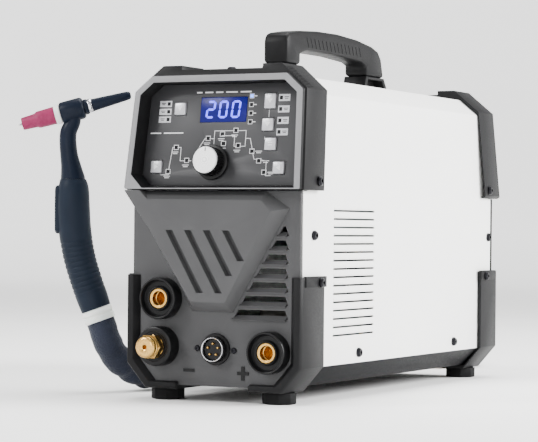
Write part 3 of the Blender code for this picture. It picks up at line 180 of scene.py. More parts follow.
def mottled(name, tones, rough, blotch, grain=None, depthMm=0, glossBy="grain", **uniform):
    # blotches of two tones, and a finer grain that varies the gloss and stands in relief
    # blotch and grain are (size in mm, detail)
    material, tree, shader, coords = startMaterial(name, **uniform)
    blotches = spots(tree, coords, *blotch)
    grains = spots(tree, coords, *grain) if grain else blotches
    relief = bumps(tree, grains, depthMm) if depthMm else None
    gloss = grains if glossBy == "grain" else blotches
    join(tree, shader, blendTones(tree, blotches, *tones), between(tree, gloss, *rough), relief)
    return material


def mouldedPlastic(name, look):
    return mottled(name, look["tones"], look["rough"], (38, 3), (look["grainMm"], 2), look["depthMm"],
                   IOR=1.53, Specular_IOR_Level=look.get("shine", 0.08))


def streaks(tree, coords, squeeze, scale, detail=1):
    # a noise drawn out along the axes where squeeze is small
    drawn = addNode(tree, "ShaderNodeMapping", {"Vector": coords, "Scale": squeeze}).outputs["Vector"]
    noise = addNode(tree, "ShaderNodeTexNoise", {"Vector": drawn, "Scale": scale, "Detail": detail})
    return noise.outputs["Fac"]


def powderCoat(name, tones, rough, peelMm=2.2, depthMm=0.05, shine=0.5):
    # polyester powder baked on steel: an orange peel a couple of millimetres across under a low gloss
    material, tree, shader, coords = startMaterial(name, IOR=1.5, Specular_IOR_Level=shine)
    peel = spots(tree, coords, peelMm, 1.5)
    fine = spots(tree, coords, 0.6, 1)
    normal = bumps(tree, fine, 0.012, 1.0, bumps(tree, peel, depthMm))
    tone = blendTones(tree, spots(tree, coords, 90, 2), *tones)
    join(tree, shader, tone, between(tree, peel, *rough), normal)
    return material


def turnedBrass():
    # brass turned on a lathe and left bright: fine rings of tool marks and a warm tarnish in places
    material, tree, shader, coords = startMaterial("turnedBrass", Metallic=1.0)
    rings = streaks(tree, coords, (0.12, 1.0, 0.12), 2200)
    join(tree, shader, blendTones(tree, spots(tree, coords, 7, 3), "dcb469", "bb8d48"),
         between(tree, rings, 0.20, 0.34), bumps(tree, rings, 0.02))
    return material


def platedSteel(name, tones, rough):
    # plate over turned steel, or ground tungsten: bright, with faint tool lines
    material, tree, shader, coords = startMaterial(name, Metallic=1.0)
    lines = streaks(tree, coords, (0.2, 1.0, 1.0), 1600)
    join(tree, shader, blendTones(tree, spots(tree, coords, 5, 2), *tones), between(tree, lines, *rough),
         bumps(tree, lines, 0.012))
    return material


def splitLeather():
    # dyed split cowhide: crossing creases a few millimetres apart over a napped, dull surface
    material, tree, shader, coords = startMaterial("splitLeather", IOR=1.45, Sheen_Weight=0.08,
                                                   Sheen_Roughness=0.5, Specular_IOR_Level=0.25)
    creases = addNode(tree, "ShaderNodeTexVoronoi", {"Vector": coords, "Scale": 1000 / 3.2},
                      feature="DISTANCE_TO_EDGE").outputs["Distance"]
    nap = spots(tree, coords, 0.7, 3)
    wear = spots(tree, coords, 24, 4)
    normal = bumps(tree, nap, 0.10, 0.6, bumps(tree, between(tree, creases, 0, 1, 0.0, 0.18), 0.35, 0.8))
    join(tree, shader, blendTones(tree, wear, "141824", "222838"), between(tree, nap, 0.55, 0.78), normal)
    return material


def spunAluminium():
    # the knob's cap, spun and clear lacquered: circles of fine scratches that stretch the highlight
    material, tree, shader, coords = startMaterial("spunAluminium", Metallic=0.25, Coat_Weight=0.2)
    centred = addNode(tree, "ShaderNodeMapping", {"Vector": coords, "Location": knobCoordsBack})
    wave = addNode(tree, "ShaderNodeTexWave", {"Vector": centred.outputs["Vector"], "Scale": 900,
                                               "Distortion": 3.0, "Detail": 2},
                   wave_type="RINGS", rings_direction="SPHERICAL").outputs["Fac"]
    join(tree, shader, blendTones(tree, wave, "ececee", "fafafa"), between(tree, wave, 0.24, 0.34, 0, 1),
         bumps(tree, wave, 0.01))
    return material


def smokedWindow():
    # tinted acrylic over a blue display: deep, glossy and unevenly lit from behind
    material, tree, shader, coords = startMaterial("smokedWindow", IOR=1.49, Specular_IOR_Level=0.15)
    glow = spots(tree, coords, 22, 1)
    join(tree, shader, blendTones(tree, glow, "08083c", "0c0c54"), between(tree, glow, 0.22, 0.28))
    tree.links.new(blendTones(tree, glow, "0c0c60", "14148a"), shader.inputs["Emission Color"])
    shader.inputs["Emission Strength"].default_value = 0.55
    return material


def litSegment(name, tones, strength):
    # a light-emitting diode behind a diffuser: slightly uneven along each bar
    material, tree, shader, coords = startMaterial(name, IOR=1.5, Emission_Strength=strength)
    core = spots(tree, coords, 2.5, 1)
    colour = blendTones(tree, core, *tones)
    join(tree, shader, colour, between(tree, core, 0.25, 0.4))
    tree.links.new(colour, shader.inputs["Emission Color"])
    return material


def lacqueredBoard():
    # fibreglass laminate under green solder lacquer, with copper tracks showing as paler lines
    material, tree, shader, coords = startMaterial("lacqueredBoard", IOR=1.55, Coat_Weight=0.4)
    tracks = addNode(tree, "ShaderNodeTexBrick", {"Vector": coords, "Scale": 60.0, "Mortar Size": 0.03,
                                                  "Color1": linearColour("145c34"),
                                                  "Color2": linearColour("1a6a3c"),
                                                  "Mortar": linearColour("3a8a58")}).outputs["Color"]
    join(tree, shader, tracks, between(tree, spots(tree, coords, 1.0, 2), 0.3, 0.42))
    return material


def machinedAluminium():
    # extruded and sawn aluminium: straight die lines along its length
    material, tree, shader, coords = startMaterial("machinedAluminium", Metallic=1.0)
    lines = streaks(tree, coords, (1.0, 0.04, 1.0), 900, 2)
    join(tree, shader, blendTones(tree, lines, "a8acb0", "c4c8cc"), between(tree, lines, 0.30, 0.44),
         bumps(tree, lines, 0.03))
    return material


def varnishedIron():
    # stacked iron sheets half a millimetre thick, dipped in dark varnish
    material, tree, shader, coords = startMaterial("varnishedIron", IOR=1.5, Metallic=0.6, Coat_Weight=0.3)
    sheets = addNode(tree, "ShaderNodeTexWave", {"Vector": coords, "Scale": 320, "Distortion": 0.6},
                     bands_direction="Y").outputs["Fac"]
    join(tree, shader, blendTones(tree, sheets, "3c3a38", "5a5652"), between(tree, sheets, 0.4, 0.6, 0, 1),
         bumps(tree, sheets, 0.08))
    return material


knobPlace = (-0.0092, 0.2345)
knobCoordsBack = -(panelMatrix(*knobPlace).to_translation() + machineShift)

finishes = {name: mouldedPlastic(name, look) for name, look in mouldedGrains.items()}
finishes["whitePowder"] = powderCoat("whitePowder", ("f0f0ee", "f6f6f4"), (0.34, 0.46))
finishes["charcoalPowder"] = powderCoat("charcoalPowder", ("111112", "18181a"), (0.40, 0.54), 1.6, shine=0.05)
# matt polycarbonate film, printed from behind: even charcoal with a fine velvet texture
finishes["film"] = mottled("screenPrintedFilm", ("2a2a2c", "323234"), (0.36, 0.46), (60, 2), (0.5, 1), 0.015,
                           IOR=1.58, Specular_IOR_Level=0.25)
# pad-printed pale grey ink: slightly uneven cover and no relief of its own
finishes["ink"] = mottled("printInk", ("c8c8ca", "dedee0"), (0.45, 0.6), (1.2, 3), IOR=1.5)
finishes["brass"] = turnedBrass()
finishes["chrome"] = platedSteel("nickelPlate", ("c6c6ca", "dcdce0"), (0.14, 0.24))
finishes["blackZinc"] = platedSteel("blackZinc", ("1a1a1c", "2c2c30"), (0.30, 0.46))
# fired aluminium oxide: a dry rose ceramic with a faint powdery mottle
finishes["alumina"] = mottled("pinkAlumina", ("6a1038", "8c2450"), (0.36, 0.52), (3, 4), (0.35, 1), 0.015,
                              IOR=1.77, Specular_IOR_Level=0.12)
# sintered PTFE: waxy, very slightly translucent white
finishes["ptfe"] = mottled("whitePtfe", ("dcdcd8", "eeeeea"), (0.34, 0.48), (6, 2), (0.8, 1), 0.01, "blotch",
                           IOR=1.35, Subsurface_Weight=0.12)
finishes["leather"] = splitLeather()
# extruded EPDM hose: a dull bloom over a fine grain
finishes["hoseRubber"] = mottled("extrudedRubber", ("0f1013", "18191d"), (0.46, 0.64), (18, 3), (0.8, 2),
                                 0.04, "blotch", IOR=1.52, Specular_IOR_Level=0.15)
# pressed rubber foot: deep matt black with dust in the pores
finishes["footRubber"] = mottled("mouldedRubber", ("0c0c0d", "161617"), (0.62, 0.80), (9, 4), (0.6, 2), 0.06,
                                 "blotch", IOR=1.52, Specular_IOR_Level=0.1)
# silver lacquer on a moulded key: metallic flakes too small to see one by one
finishes["buttonSilver"] = mottled("buttonSilver", ("a2a2a6", "bcbcc0"), (0.26, 0.40), (14, 2), (0.35, 1),
                                   0.01, IOR=1.5, Metallic=0.35, Coat_Weight=0.2)
finishes["knobCap"] = spunAluminium()
finishes["window"] = smokedWindow()
finishes["digits"] = litSegment("litDigits", ("4646ff", "6464ff"), 2.4)
finishes["blueLamp"] = litSegment("litBlueLamp", ("3c6cff", "6a9cff"), 3.5)
finishes["board"] = lacqueredBoard()
finishes["aluminium"] = machinedAluminium()
finishes["iron"] = varnishedIron()
finishes["tungsten"] = platedSteel("groundTungsten", ("7c7c80", "96969a"), (0.30, 0.46))
print("materials made", len(finishes))

# ---- mesh helpers


def linkMesh(name, mesh):
    piece = bpy.data.objects.new(name, mesh)
    bpy.context.scene.collection.objects.link(piece)
    return piece


def finishPiece(piece, finish, body="case", replaced=(), matrix=None, smooth=35):
    # a piece drawn in the machine's own axes goes to its place, gets its finish and rides on its body
    if matrix is not None:
        piece.data.transform(matrix)
    piece.data.transform(Matrix.Translation(machineShift))
    if finish is not None:
        piece.data.materials.clear()
        piece.data.materials.append(finishes[finish])
    if smooth:
        piece.data.shade_smooth()
        piece.data.set_sharp_from_angle(angle=math.radians(smooth))
    if replaced:
        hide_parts(*replaced)
    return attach(piece, body)


def pieceFrom(bm, name, finish, body="case", replaced=(), matrix=None, smooth=35):
    bmesh.ops.remove_doubles(bm, verts=bm.verts, dist=1e-7)
    bmesh.ops.recalc_face_normals(bm, faces=bm.faces)
    mesh = bpy.data.meshes.new(name)
    bm.to_mesh(mesh)
    bm.free()
    return finishPiece(linkMesh(name, mesh), finish, body, replaced, matrix, smooth)


def softened(node, radius, finish, body="case", segments=2, angle=30):
    # a copy of a CAD node with its corners rounded as a mould or a press leaves them
    bm = bmesh.new()
    bm.from_mesh(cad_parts[node].data)
    bmesh.ops.remove_doubles(bm, verts=bm.verts, dist=2e-6)
    bmesh.ops.dissolve_limit(bm, angle_limit=math.radians(0.5), verts=bm.verts, edges=bm.edges)
    bmesh.ops.connect_verts_concave(bm, faces=bm.faces)
    sharp = math.radians(angle)
    corners = [e for e in bm.edges if len(e.link_faces) == 2 and abs(e.calc_face_angle(0)) > sharp]
    bmesh.ops.bevel(bm, geom=corners, offset=radius, offset_type="OFFSET", segments=segments, profile=0.5,
                    affect="EDGES", clamp_overlap=False)
    bm.transform(Matrix.Translation(-machineShift))
    return pieceFrom(bm, node + "_finished", finish, body, [node], smooth=40)


def bridgeRows(bm, rows):
    # closed rows of vertices joined by quads, each row to the next
    for lower, upper in zip(rows, rows[1:]):
        for k in range(len(lower)):
            m = (k + 1) % len(lower)
            bm.faces.new((lower[k], lower[m], upper[m], upper[k]))


def ringRow(bm, radius, height, sides):
    turns = [math.tau * k / sides for k in range(sides)]
    return [bm.verts.new((radius * math.cos(a), radius * math.sin(a), height)) for a in turns]


def latheMesh(profile, sides=72, wave=None):
    # turn (radius, height) points about Z; wave(angle, radius, height) can push the radius in and out
    bm = bmesh.new()
    rows = []
    for radius, height in profile:
        if radius == 0:
            rows.append([bm.verts.new((0, 0, height))])
            continue
        row = []
        for k in range(sides):
            a = math.tau * k / sides
            r = radius + (wave(a, radius, height) if wave else 0)
            row.append(bm.verts.new((r * math.cos(a), r * math.sin(a), height)))
        rows.append(row)
    solid = profile[0][0] == 0 and profile[-1][0] == 0
    for lower, upper in (zip(rows, rows[1:]) if solid else zip(rows, rows[1:] + rows[:1])):
        for k in range(sides):
            m = (k + 1) % sides
            corners = [lower[k % len(lower)], lower[m % len(lower)],
                       upper[m % len(upper)], upper[k % len(upper)]]
            unique = list(dict.fromkeys(corners))     # at a pole two corners are the same
            if len(unique) > 2:
                bm.faces.new(unique)
    return bm


def sweptMesh(stations, sides=48, shape=None):
    # round sections (centre, radius, tangent) carried along a path without twist, with flat ends
    bm = bmesh.new()
    rows = []
    side = None
    for i, (centre, radius, tangent) in enumerate(stations):
        if side is None:
            side = tangent.orthogonal().normalized()
        side = (side - tangent * side.dot(tangent)).normalized()
        other = tangent.cross(side)
        row = []
        for k in range(sides):
            a = math.tau * k / sides
            r = radius + (shape(a, i, centre) if shape else 0)
            row.append(bm.verts.new(centre + side * (r * math.cos(a)) + other * (r * math.sin(a))))
        rows.append(row)
    bridgeRows(bm, rows)
    bm.faces.new(rows[0][::-1])
    bm.faces.new(rows[-1])
    return bm


def turned(name, profile, finish, body="case", replaced=(), matrix=None, sides=96, wave=None):
    return pieceFrom(latheMesh(profile, sides, wave), name, finish, body, replaced, matrix)


fineSteps = 40      # between two points of a route, before the points are spaced evenly


def curvePoints(route, count):
    # evenly spaced points on a smooth curve through a given route, and the curve's length
    p = [Vector(q) for q in route]
    p = [2 * p[0] - p[1]] + p + [2 * p[-1] - p[-2]]
    fine = []
    for i in range(1, len(p) - 2):
        for k in range(fineSteps):
            t = k / fineSteps
            fine.append(0.5 * (2 * p[i] + (p[i + 1] - p[i - 1]) * t
                               + (2 * p[i - 1] - 5 * p[i] + 4 * p[i + 1] - p[i + 2]) * t * t
                               + (3 * p[i] - p[i - 1] - 3 * p[i + 1] + p[i + 2]) * t ** 3))
    fine.append(p[-2])
    along = [0.0]
    for a, b in zip(fine, fine[1:]):
        along.append(along[-1] + (b - a).length)
    result, j = [], 0
    for k in range(count):
        wanted = along[-1] * k / (count - 1)
        while j < len(along) - 2 and along[j + 1] < wanted:
            j += 1
        result.append(fine[j].lerp(fine[j + 1], (wanted - along[j]) / (along[j + 1] - along[j])))
    return result, along[-1]


def stationsAlong(points, radii):
    stations = []
    for i, point in enumerate(points):
        before, after = points[max(i - 1, 0)], points[min(i + 1, len(points) - 1)]
        stations.append((point, radii[i], (after - before).normalized()))
    return stations


def slabs(boxes, depth=0.00012):
    # thin printed shapes: each box is (x centre, z centre, width, height, turn in degrees)
    bm = bmesh.new()
    for x, z, width, height, turn in boxes:
        place = Matrix.Translation((x, -depth / 2, z)) @ Matrix.Rotation(-math.radians(turn), 4, "Y")
        bmesh.ops.create_cube(bm, size=1, matrix=place @ Matrix.Diagonal((width, depth, height, 1)))
    return bm


print("helpers ready")

# ---- geometry node trees for what repeats


def startTree(name, inputs):
    tree = bpy.data.node_groups.new(name, "GeometryNodeTree")
    for title, kind, value in inputs:
        socket = tree.interface.new_socket(name=title, in_out="INPUT", socket_type=kind)
        if value is not None:
            socket.default_value = value
    tree.interface.new_socket(name="Geometry", in_out="OUTPUT", socket_type="NodeSocketGeometry")
    return tree, tree.nodes.new("NodeGroupInput").outputs


def endTree(tree, geometry, finish, smooth=True):
    realised = addNode(tree, "GeometryNodeRealizeInstances", {"Geometry": geometry}).outputs["Geometry"]
    if smooth:
        realised = addNode(tree, "GeometryNodeSetShadeSmooth", {"Geometry": realised}).outputs["Geometry"]
    painted = addNode(tree, "GeometryNodeSetMaterial", {"Geometry": realised, "Material": finish})
    out = tree.nodes.new("NodeGroupOutput")
    tree.links.new(painted.outputs["Geometry"], out.inputs["Geometry"])
    return tree


def fieldOf(tree, name):
    field = addNode(tree, "GeometryNodeInputNamedAttribute", {"Name": name}, data_type="FLOAT_VECTOR")
    return field.outputs["Attribute"]


def barTree():
    # blocks at the carrier's points, each with its own size and turn
    tree, given = startTree("barsAtPoints", [("Geometry", "NodeSocketGeometry", None),
                                             ("Material", "NodeSocketMaterial", None)])
    block = addNode(tree, "GeometryNodeMeshCube", {"Size": (1, 1, 1)}).outputs["Mesh"]
    placed = addNode(tree, "GeometryNodeInstanceOnPoints", {
        "Points": given["Geometry"], "Instance": block, "Rotation": fieldOf(tree, "turn"),
        "Scale": fieldOf(tree, "size")}).outputs["Instances"]
    return endTree(tree, placed, given["Material"], smooth=False)


crownShare = 0.72     # a screw head's top radius, as a share of its rim


def screwTree():
    # socket-head screws: a domed head with a hexagonal recess, stood on each point along its facing
    tree, given = startTree("screwHeads", [("Geometry", "NodeSocketGeometry", None),
                                           ("Head Radius", "NodeSocketFloat", 0.0042),
                                           ("Head Height", "NodeSocketFloat", 0.0024),
                                           ("Key Radius", "NodeSocketFloat", 0.0019),
                                           ("Material", "NodeSocketMaterial", None)])
    half = addNode(tree, "ShaderNodeMath", {0: given["Head Height"], 1: 0.5}, operation="MULTIPLY").outputs[0]
    topRadius = addNode(tree, "ShaderNodeMath", {0: given["Head Radius"], 1: crownShare},
                        operation="MULTIPLY").outputs[0]
    skirt = addNode(tree, "GeometryNodeMeshCone", {"Vertices": 28, "Radius Top": given["Head Radius"],
                                                   "Radius Bottom": given["Head Radius"], "Depth": half})
    crown = addNode(tree, "GeometryNodeMeshCone", {"Vertices": 28, "Radius Top": topRadius,
                                                   "Radius Bottom": given["Head Radius"], "Depth": half})
    lift = addNode(tree, "ShaderNodeCombineXYZ", {"Z": half}).outputs["Vector"]
    raised = addNode(tree, "GeometryNodeTransform", {"Geometry": crown.outputs["Mesh"], "Translation": lift})
    joined = tree.nodes.new("GeometryNodeJoinGeometry")
    tree.links.new(skirt.outputs["Mesh"], joined.inputs[0])
    tree.links.new(raised.outputs["Geometry"], joined.inputs[0])
    key = addNode(tree, "GeometryNodeMeshCylinder", {"Vertices": 6, "Radius": given["Key Radius"],
                                                     "Depth": given["Head Height"]}).outputs["Mesh"]
    keyLift = addNode(tree, "ShaderNodeCombineXYZ", {"Z": given["Head Height"]}).outputs["Vector"]
    keyRaised = addNode(tree, "GeometryNodeTransform", {"Geometry": key, "Translation": keyLift})
    cut = addNode(tree, "GeometryNodeMeshBoolean", {"Mesh 1": joined.outputs["Geometry"],
                                                    "Mesh 2": keyRaised.outputs["Geometry"]},
                  operation="DIFFERENCE", solver="EXACT")
    cut.inputs["Self Intersection"].default_value = True
    aligned = addNode(tree, "FunctionNodeAlignRotationToVector", {"Vector": fieldOf(tree, "facing")},
                      axis="Z")
    placed = addNode(tree, "GeometryNodeInstanceOnPoints", {
        "Points": given["Geometry"], "Instance": cut.outputs["Mesh"],
        "Rotation": aligned.outputs["Rotation"]}).outputs["Instances"]
    return endTree(tree, placed, given["Material"], smooth=False)


def stitchTree():
    # short rounded stitches lying along a seam
    tree, given = startTree("seamStitches", [("Geometry", "NodeSocketGeometry", None),
                                             ("Thread Radius", "NodeSocketFloat", 0.0005),
                                             ("Stitch Length", "NodeSocketFloat", 0.0042),
                                             ("Material", "NodeSocketMaterial", None)])
    thread = addNode(tree, "GeometryNodeMeshUVSphere", {"Segments": 8, "Rings": 6,
                                                        "Radius": given["Thread Radius"]})
    longer = addNode(tree, "ShaderNodeMath", {0: given["Stitch Length"], 1: given["Thread Radius"]},
                     operation="DIVIDE").outputs[0]
    halved = addNode(tree, "ShaderNodeMath", {0: longer, 1: 0.5}, operation="MULTIPLY").outputs[0]
    stretch = addNode(tree, "ShaderNodeCombineXYZ", {"X": 1.0, "Y": 1.0, "Z": halved}).outputs["Vector"]
    aligned = addNode(tree, "FunctionNodeAlignRotationToVector", {"Vector": fieldOf(tree, "facing")},
                      axis="Z")
    placed = addNode(tree, "GeometryNodeInstanceOnPoints", {
        "Points": given["Geometry"], "Instance": thread.outputs["Mesh"],
        "Rotation": aligned.outputs["Rotation"], "Scale": stretch}).outputs["Instances"]
    return endTree(tree, placed, given["Material"])


def flutedTree():
    # a knob's body: a disc whose edge waves in and out, drawn up to its height
    tree, given = startTree("flutedBody", [("Radius", "NodeSocketFloat", 0.0138),
                                           ("Height", "NodeSocketFloat", 0.014),
                                           ("Flutes", "NodeSocketFloat", 24.0),
                                           ("Flute Depth", "NodeSocketFloat", 0.0006),
                                           ("Material", "NodeSocketMaterial", None)])
    disc = addNode(tree, "GeometryNodeMeshCircle", {"Vertices": 192, "Radius": given["Radius"]},
                   fill_type="NGON").outputs["Mesh"]
    spot = tree.nodes.new("GeometryNodeInputPosition").outputs["Position"]
    parts = addNode(tree, "ShaderNodeSeparateXYZ", {0: spot}).outputs
    angle = addNode(tree, "ShaderNodeMath", {0: parts["Y"], 1: parts["X"]}, operation="ARCTAN2").outputs[0]
    turns = addNode(tree, "ShaderNodeMath", {0: angle, 1: given["Flutes"]}, operation="MULTIPLY").outputs[0]
    swell = addNode(tree, "ShaderNodeMath", {0: turns}, operation="COSINE").outputs[0]
    push = addNode(tree, "ShaderNodeMath", {0: swell, 1: given["Flute Depth"]},
                   operation="MULTIPLY").outputs[0]
    outward = addNode(tree, "ShaderNodeVectorMath", {0: spot}, operation="NORMALIZE").outputs["Vector"]
    offset = addNode(tree, "ShaderNodeVectorMath", {0: outward, "Scale": push}, operation="SCALE")
    waved = addNode(tree, "GeometryNodeSetPosition", {"Geometry": disc, "Offset": offset.outputs["Vector"]})
    waved = waved.outputs["Geometry"]
    drawn = addNode(tree, "GeometryNodeExtrudeMesh", {"Mesh": waved, "Offset Scale": given["Height"]},
                    mode="FACES")
    under = addNode(tree, "GeometryNodeFlipFaces", {"Mesh": waved}).outputs["Mesh"]
    joined = tree.nodes.new("GeometryNodeJoinGeometry")
    tree.links.new(drawn.outputs["Mesh"], joined.inputs[0])
    tree.links.new(under, joined.inputs[0])
    welded = addNode(tree, "GeometryNodeMergeByDistance", {"Geometry": joined.outputs["Geometry"],
                                                           "Distance": 0.00001}).outputs["Geometry"]
    return endTree(tree, welded, given["Material"], smooth=False)


def grow(name, tree, values, points=None, attributes=None):
    # run a tree on a carrier of bare points and keep the result as a plain mesh
    carrier = bpy.data.meshes.new(name + "_points")
    carrier.from_pydata([tuple(p) for p in points or []], [], [])
    for title, rows in (attributes or {}).items():
        layer = carrier.attributes.new(title, "FLOAT_VECTOR", "POINT")
        layer.data.foreach_set("vector", [value for row in rows for value in row])
    grower = linkMesh(name + "_grower", carrier)
    modifier = grower.modifiers.new(tree.name, "NODES")
    modifier.node_group = tree
    for item in tree.interface.items_tree:
        if item.in_out == "INPUT" and item.name in values:
            modifier[item.identifier] = values[item.name]
    graph = bpy.context.evaluated_depsgraph_get()
    mesh = bpy.data.meshes.new_from_object(grower.evaluated_get(graph))
    bpy.data.objects.remove(grower)
    for title in attributes or {}:
        if title in mesh.attributes:
            mesh.attributes.remove(mesh.attributes[title])
    return linkMesh(name, mesh)


trees = {"bars": barTree(), "screws": screwTree(), "stitches": stitchTree(), "fluted": flutedTree()}


def growBars(name, finish, rows, body="case", matrix=None):
    # rows of (centre, size, turn in radians), all in the machine's axes or in the matrix's own
    piece = grow(name, trees["bars"], {"Material": finishes[finish]}, [r[0] for r in rows],
                 {"size": [r[1] for r in rows], "turn": [r[2] for r in rows]})
    return finishPiece(piece, None, body, (), matrix, smooth=20)


def growScrews(name, places, headRadius=0.0048, headHeight=0.0036, keyRadius=0.0021):
    # places of (centre, facing)
    piece = grow(name, trees["screws"], {"Head Radius": headRadius, "Head Height": headHeight,
                                         "Key Radius": keyRadius, "Material": finishes["blackZinc"]},
                 [place[0] for place in places], {"facing": [place[1] for place in places]})
    return finishPiece(piece, None, smooth=30)


print("trees built")

# ---- the lead: leather sleeve, bare hose, coil and plugs

sleeveLook = {"diameter": 0.030, "stitchPitch": 0.0065}
hoseLook = {"diameter": 0.016, "coilCentre": (-0.140, 0.668), "middle": 0.090, "low": 0.0086, "high": 0.0250,
            "firstTurn": 0.055, "lastTurn": 5.5, "coilPoints": 125}
sleeveRoute = [(-0.1580, 0.0610, 0.0590), (-0.1520, 0.0660, 0.0420), (-0.1445, 0.0800, 0.0275),
               (-0.1375, 0.1020, 0.0190), (-0.1325, 0.1320, 0.0162), (-0.1300, 0.1750, 0.0160),
               (-0.1310, 0.2600, 0.0160), (-0.1350, 0.3500, 0.0160), (-0.1400, 0.4400, 0.0160)]
hoseRoute = [(-0.1473, 0.4957, 0.0105), (-0.1658, 0.5212, 0.0086), (-0.1934, 0.5370, 0.0085),
             (-0.2210, 0.5528, 0.0085), (-0.2395, 0.5783, 0.0085), (-0.2460, 0.6090, 0.0085)]
handleEnd = [(0.0205, 0.0970), (0.0245, 0.0860)]    # the last stretch of the torch handle, u and z
collarLength = 0.0130
cuffLength = 0.018
partGap = 0.0003


def leadStart():
    (u1, z1), (u2, z2) = handleEnd
    along = Vector((u2 - u1, 0, z2 - z1)).normalized()
    start = Vector((u2, 0, z2)) + along * (collarLength + 2 * partGap)
    return torchMatrix @ start, torchMatrix.to_3x3() @ along


def makeSleeve():
    start, along = leadStart()
    route = [start, start + along * 0.008] + [Vector(p) for p in sleeveRoute]
    points, length = curvePoints(route, 240)
    radius = sleeveLook["diameter"] / 2

    def creased(angle, i, centre):
        # folds about 20 mm apart where the leather bends, none under the collar, and one raised seam
        bent = max(0.0, 1.0 - abs(i - 50) / 46)
        crumple = math.sin(i * 0.55 + 1.1 * math.sin(angle + 0.4) + 0.8 * math.sin(i * 0.13)) * bent * 0.0013
        crumple += math.sin(i * 0.95 + 2 * angle) * bent * 0.0005
        seam = 0.0007 * math.exp(-((angle - 1.2) / 0.10) ** 2)
        return crumple + 0.00022 * math.sin(2 * angle + i * 0.05) + seam - 0.0005

    bm = sweptMesh(stationsAlong(points, [radius] * len(points)), 64, creased)
    path = [p + machineShift for p in points[::7]] + [points[-1] + machineShift]
    sleeve = pieceFrom(bm, "leather_sleeve", "leather", replaced=["hose_sleeve"], smooth=50)
    return sleeve, path, length, points


def makeCuff(points):
    # the moulded cuff where the leather ends and the bare hose leaves
    heading = (points[-1] - points[-2]).normalized()
    route = [(0.0, 0.0146), (0.0012, 0.0150), (0.0080, 0.0150), (0.0092, 0.0142), (0.0105, 0.0145),
             (0.0118, 0.0132), (0.0131, 0.0135), (0.0145, 0.0118), (0.0165, 0.0104), (0.0180, 0.0095)]
    start = points[-1] + heading * partGap
    stations = [(start + heading * distance, radius, heading) for distance, radius in route]
    cuff = pieceFrom(sweptMesh(stations, 48), "lead_cuff", "footRubber", replaced=["sleeve_cuff"])
    return cuff, start + heading * (cuffLength + partGap), heading


def coilPoint(turn):
    # clockwise from the left: three strands inwards on the floor, then outwards on top of them
    middle, pitch = hoseLook["middle"], hoseLook["diameter"]
    low, high = hoseLook["low"], hoseLook["high"]

    def ease(start, end):
        s = min(1.0, max(0.0, (turn - start) / (end - start)))
        return s * s * (3 - 2 * s)

    radius = middle + pitch * (1 - ease(0.88, 1.0) - ease(1.88, 2.0) + ease(3.68, 3.8) + ease(4.68, 4.8))
    radius += 0.0208 * ease(5.0, 5.25)
    height = low + (high - low) * ease(2.76, 2.88) - (high - 0.0128) * ease(5.25, 5.48)
    angle = math.pi - math.tau * turn
    cx, cy = hoseLook["coilCentre"]
    return Vector((cx + radius * math.cos(angle), cy + radius * math.sin(angle), height))


def makeHose(start, heading):
    route = [start, start + heading * 0.006] + [Vector(p) for p in hoseRoute]
    lead, _ = curvePoints(route, 22)
    first, last, count = hoseLook["firstTurn"], hoseLook["lastTurn"], hoseLook["coilPoints"]
    points = lead + [coilPoint(first + k * (last - first) / (count - 1)) for k in range(count)]
    curve = bpy.data.curves.new("lead_hose", "CURVE")
    curve.dimensions = "3D"
    curve.bevel_depth = hoseLook["diameter"] / 2
    curve.bevel_resolution = 7
    curve.use_fill_caps = True
    spline = curve.splines.new("POLY")
    spline.points.add(len(points) - 1)
    for spot, point in zip(spline.points, points):
        spot.co = (*(point + machineShift), 1)
    spline.use_smooth = True
    curve.materials.append(finishes["hoseRubber"])
    hose = bpy.data.objects.new("lead_hose", curve)
    bpy.context.scene.collection.objects.link(hose)
    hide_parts("torch_hose", "hose_coil")
    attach(hose, "case")
    length = sum((b - a).length for a, b in zip(points, points[1:]))
    return hose, length, points


def makePlugs(hosePoints):
    x = hoseLook["coilCentre"][0] + hoseLook["middle"] + 1.5 * hoseLook["diameter"] + 0.0128
    y = hoseLook["coilCentre"][1]
    sleeve = [(0, 0), (0.0086, 0), (0.0095, 0.0006), (0.0104, 0.004), (0.0108, 0.0046), (0.0116, 0.0085),
              (0.0120, 0.0092), (0.0125, 0.013), (0.0125, 0.0175), (0.0121, 0.0182), (0.0121, 0.0192),
              (0.0125, 0.0199), (0.0125, 0.040), (0.0110, 0.043), (0, 0.043)]
    atPlug = Matrix.Translation((x, y, 0.0128)) @ turnForward
    plug = turned("cable_plug_body", sleeve, "footRubber", replaced=["weld_plug"], matrix=atPlug, sides=64)
    pin = [(0, 0.0432), (0.0064, 0.0432), (0.0064, 0.0560), (0.0058, 0.0566), (0.0058, 0.0580),
           (0.0064, 0.0586), (0.0064, 0.0640), (0.0050, 0.0660), (0, 0.0660)]
    contact = turned("cable_plug_contact", pin, "brass", matrix=atPlug, sides=48)
    small = [(0, 0), (0.0050, 0), (0.0056, 0.0006), (0.0085, 0.010), (0.0085, 0.0295), (0.0094, 0.0302),
             (0.0100, 0.031), (0.0100, 0.0415), (0.0094, 0.042), (0.0072, 0.042), (0.0070, 0.034), (0, 0.034)]
    control = turned("control_plug_body", small, "plugNylon", replaced=["control_plug"], sides=64,
                     matrix=Matrix.Translation((x + 0.026, y - 0.006, 0.0104)) @ turnForward,
                     wave=lambda a, r, h: 0.00025 * math.cos(30 * a) if r > 0.0095 else 0)
    tailRoute = [hosePoints[-9] + Vector((0.004, 0.004, 0.002)), Vector((x + 0.002, y + 0.045, 0.014)),
                 Vector((x + 0.019, y + 0.030, 0.011)), Vector((x + 0.026, y + 0.010, 0.0104)),
                 Vector((x + 0.026, y - 0.0062, 0.0104))]
    tailPoints, _ = curvePoints(tailRoute, 40)
    tailStations = stationsAlong(tailPoints, [0.0030] * len(tailPoints))
    tail = pieceFrom(sweptMesh(tailStations, 20), "control_tail", "hoseRubber")
    return [plug, contact, control, tail]


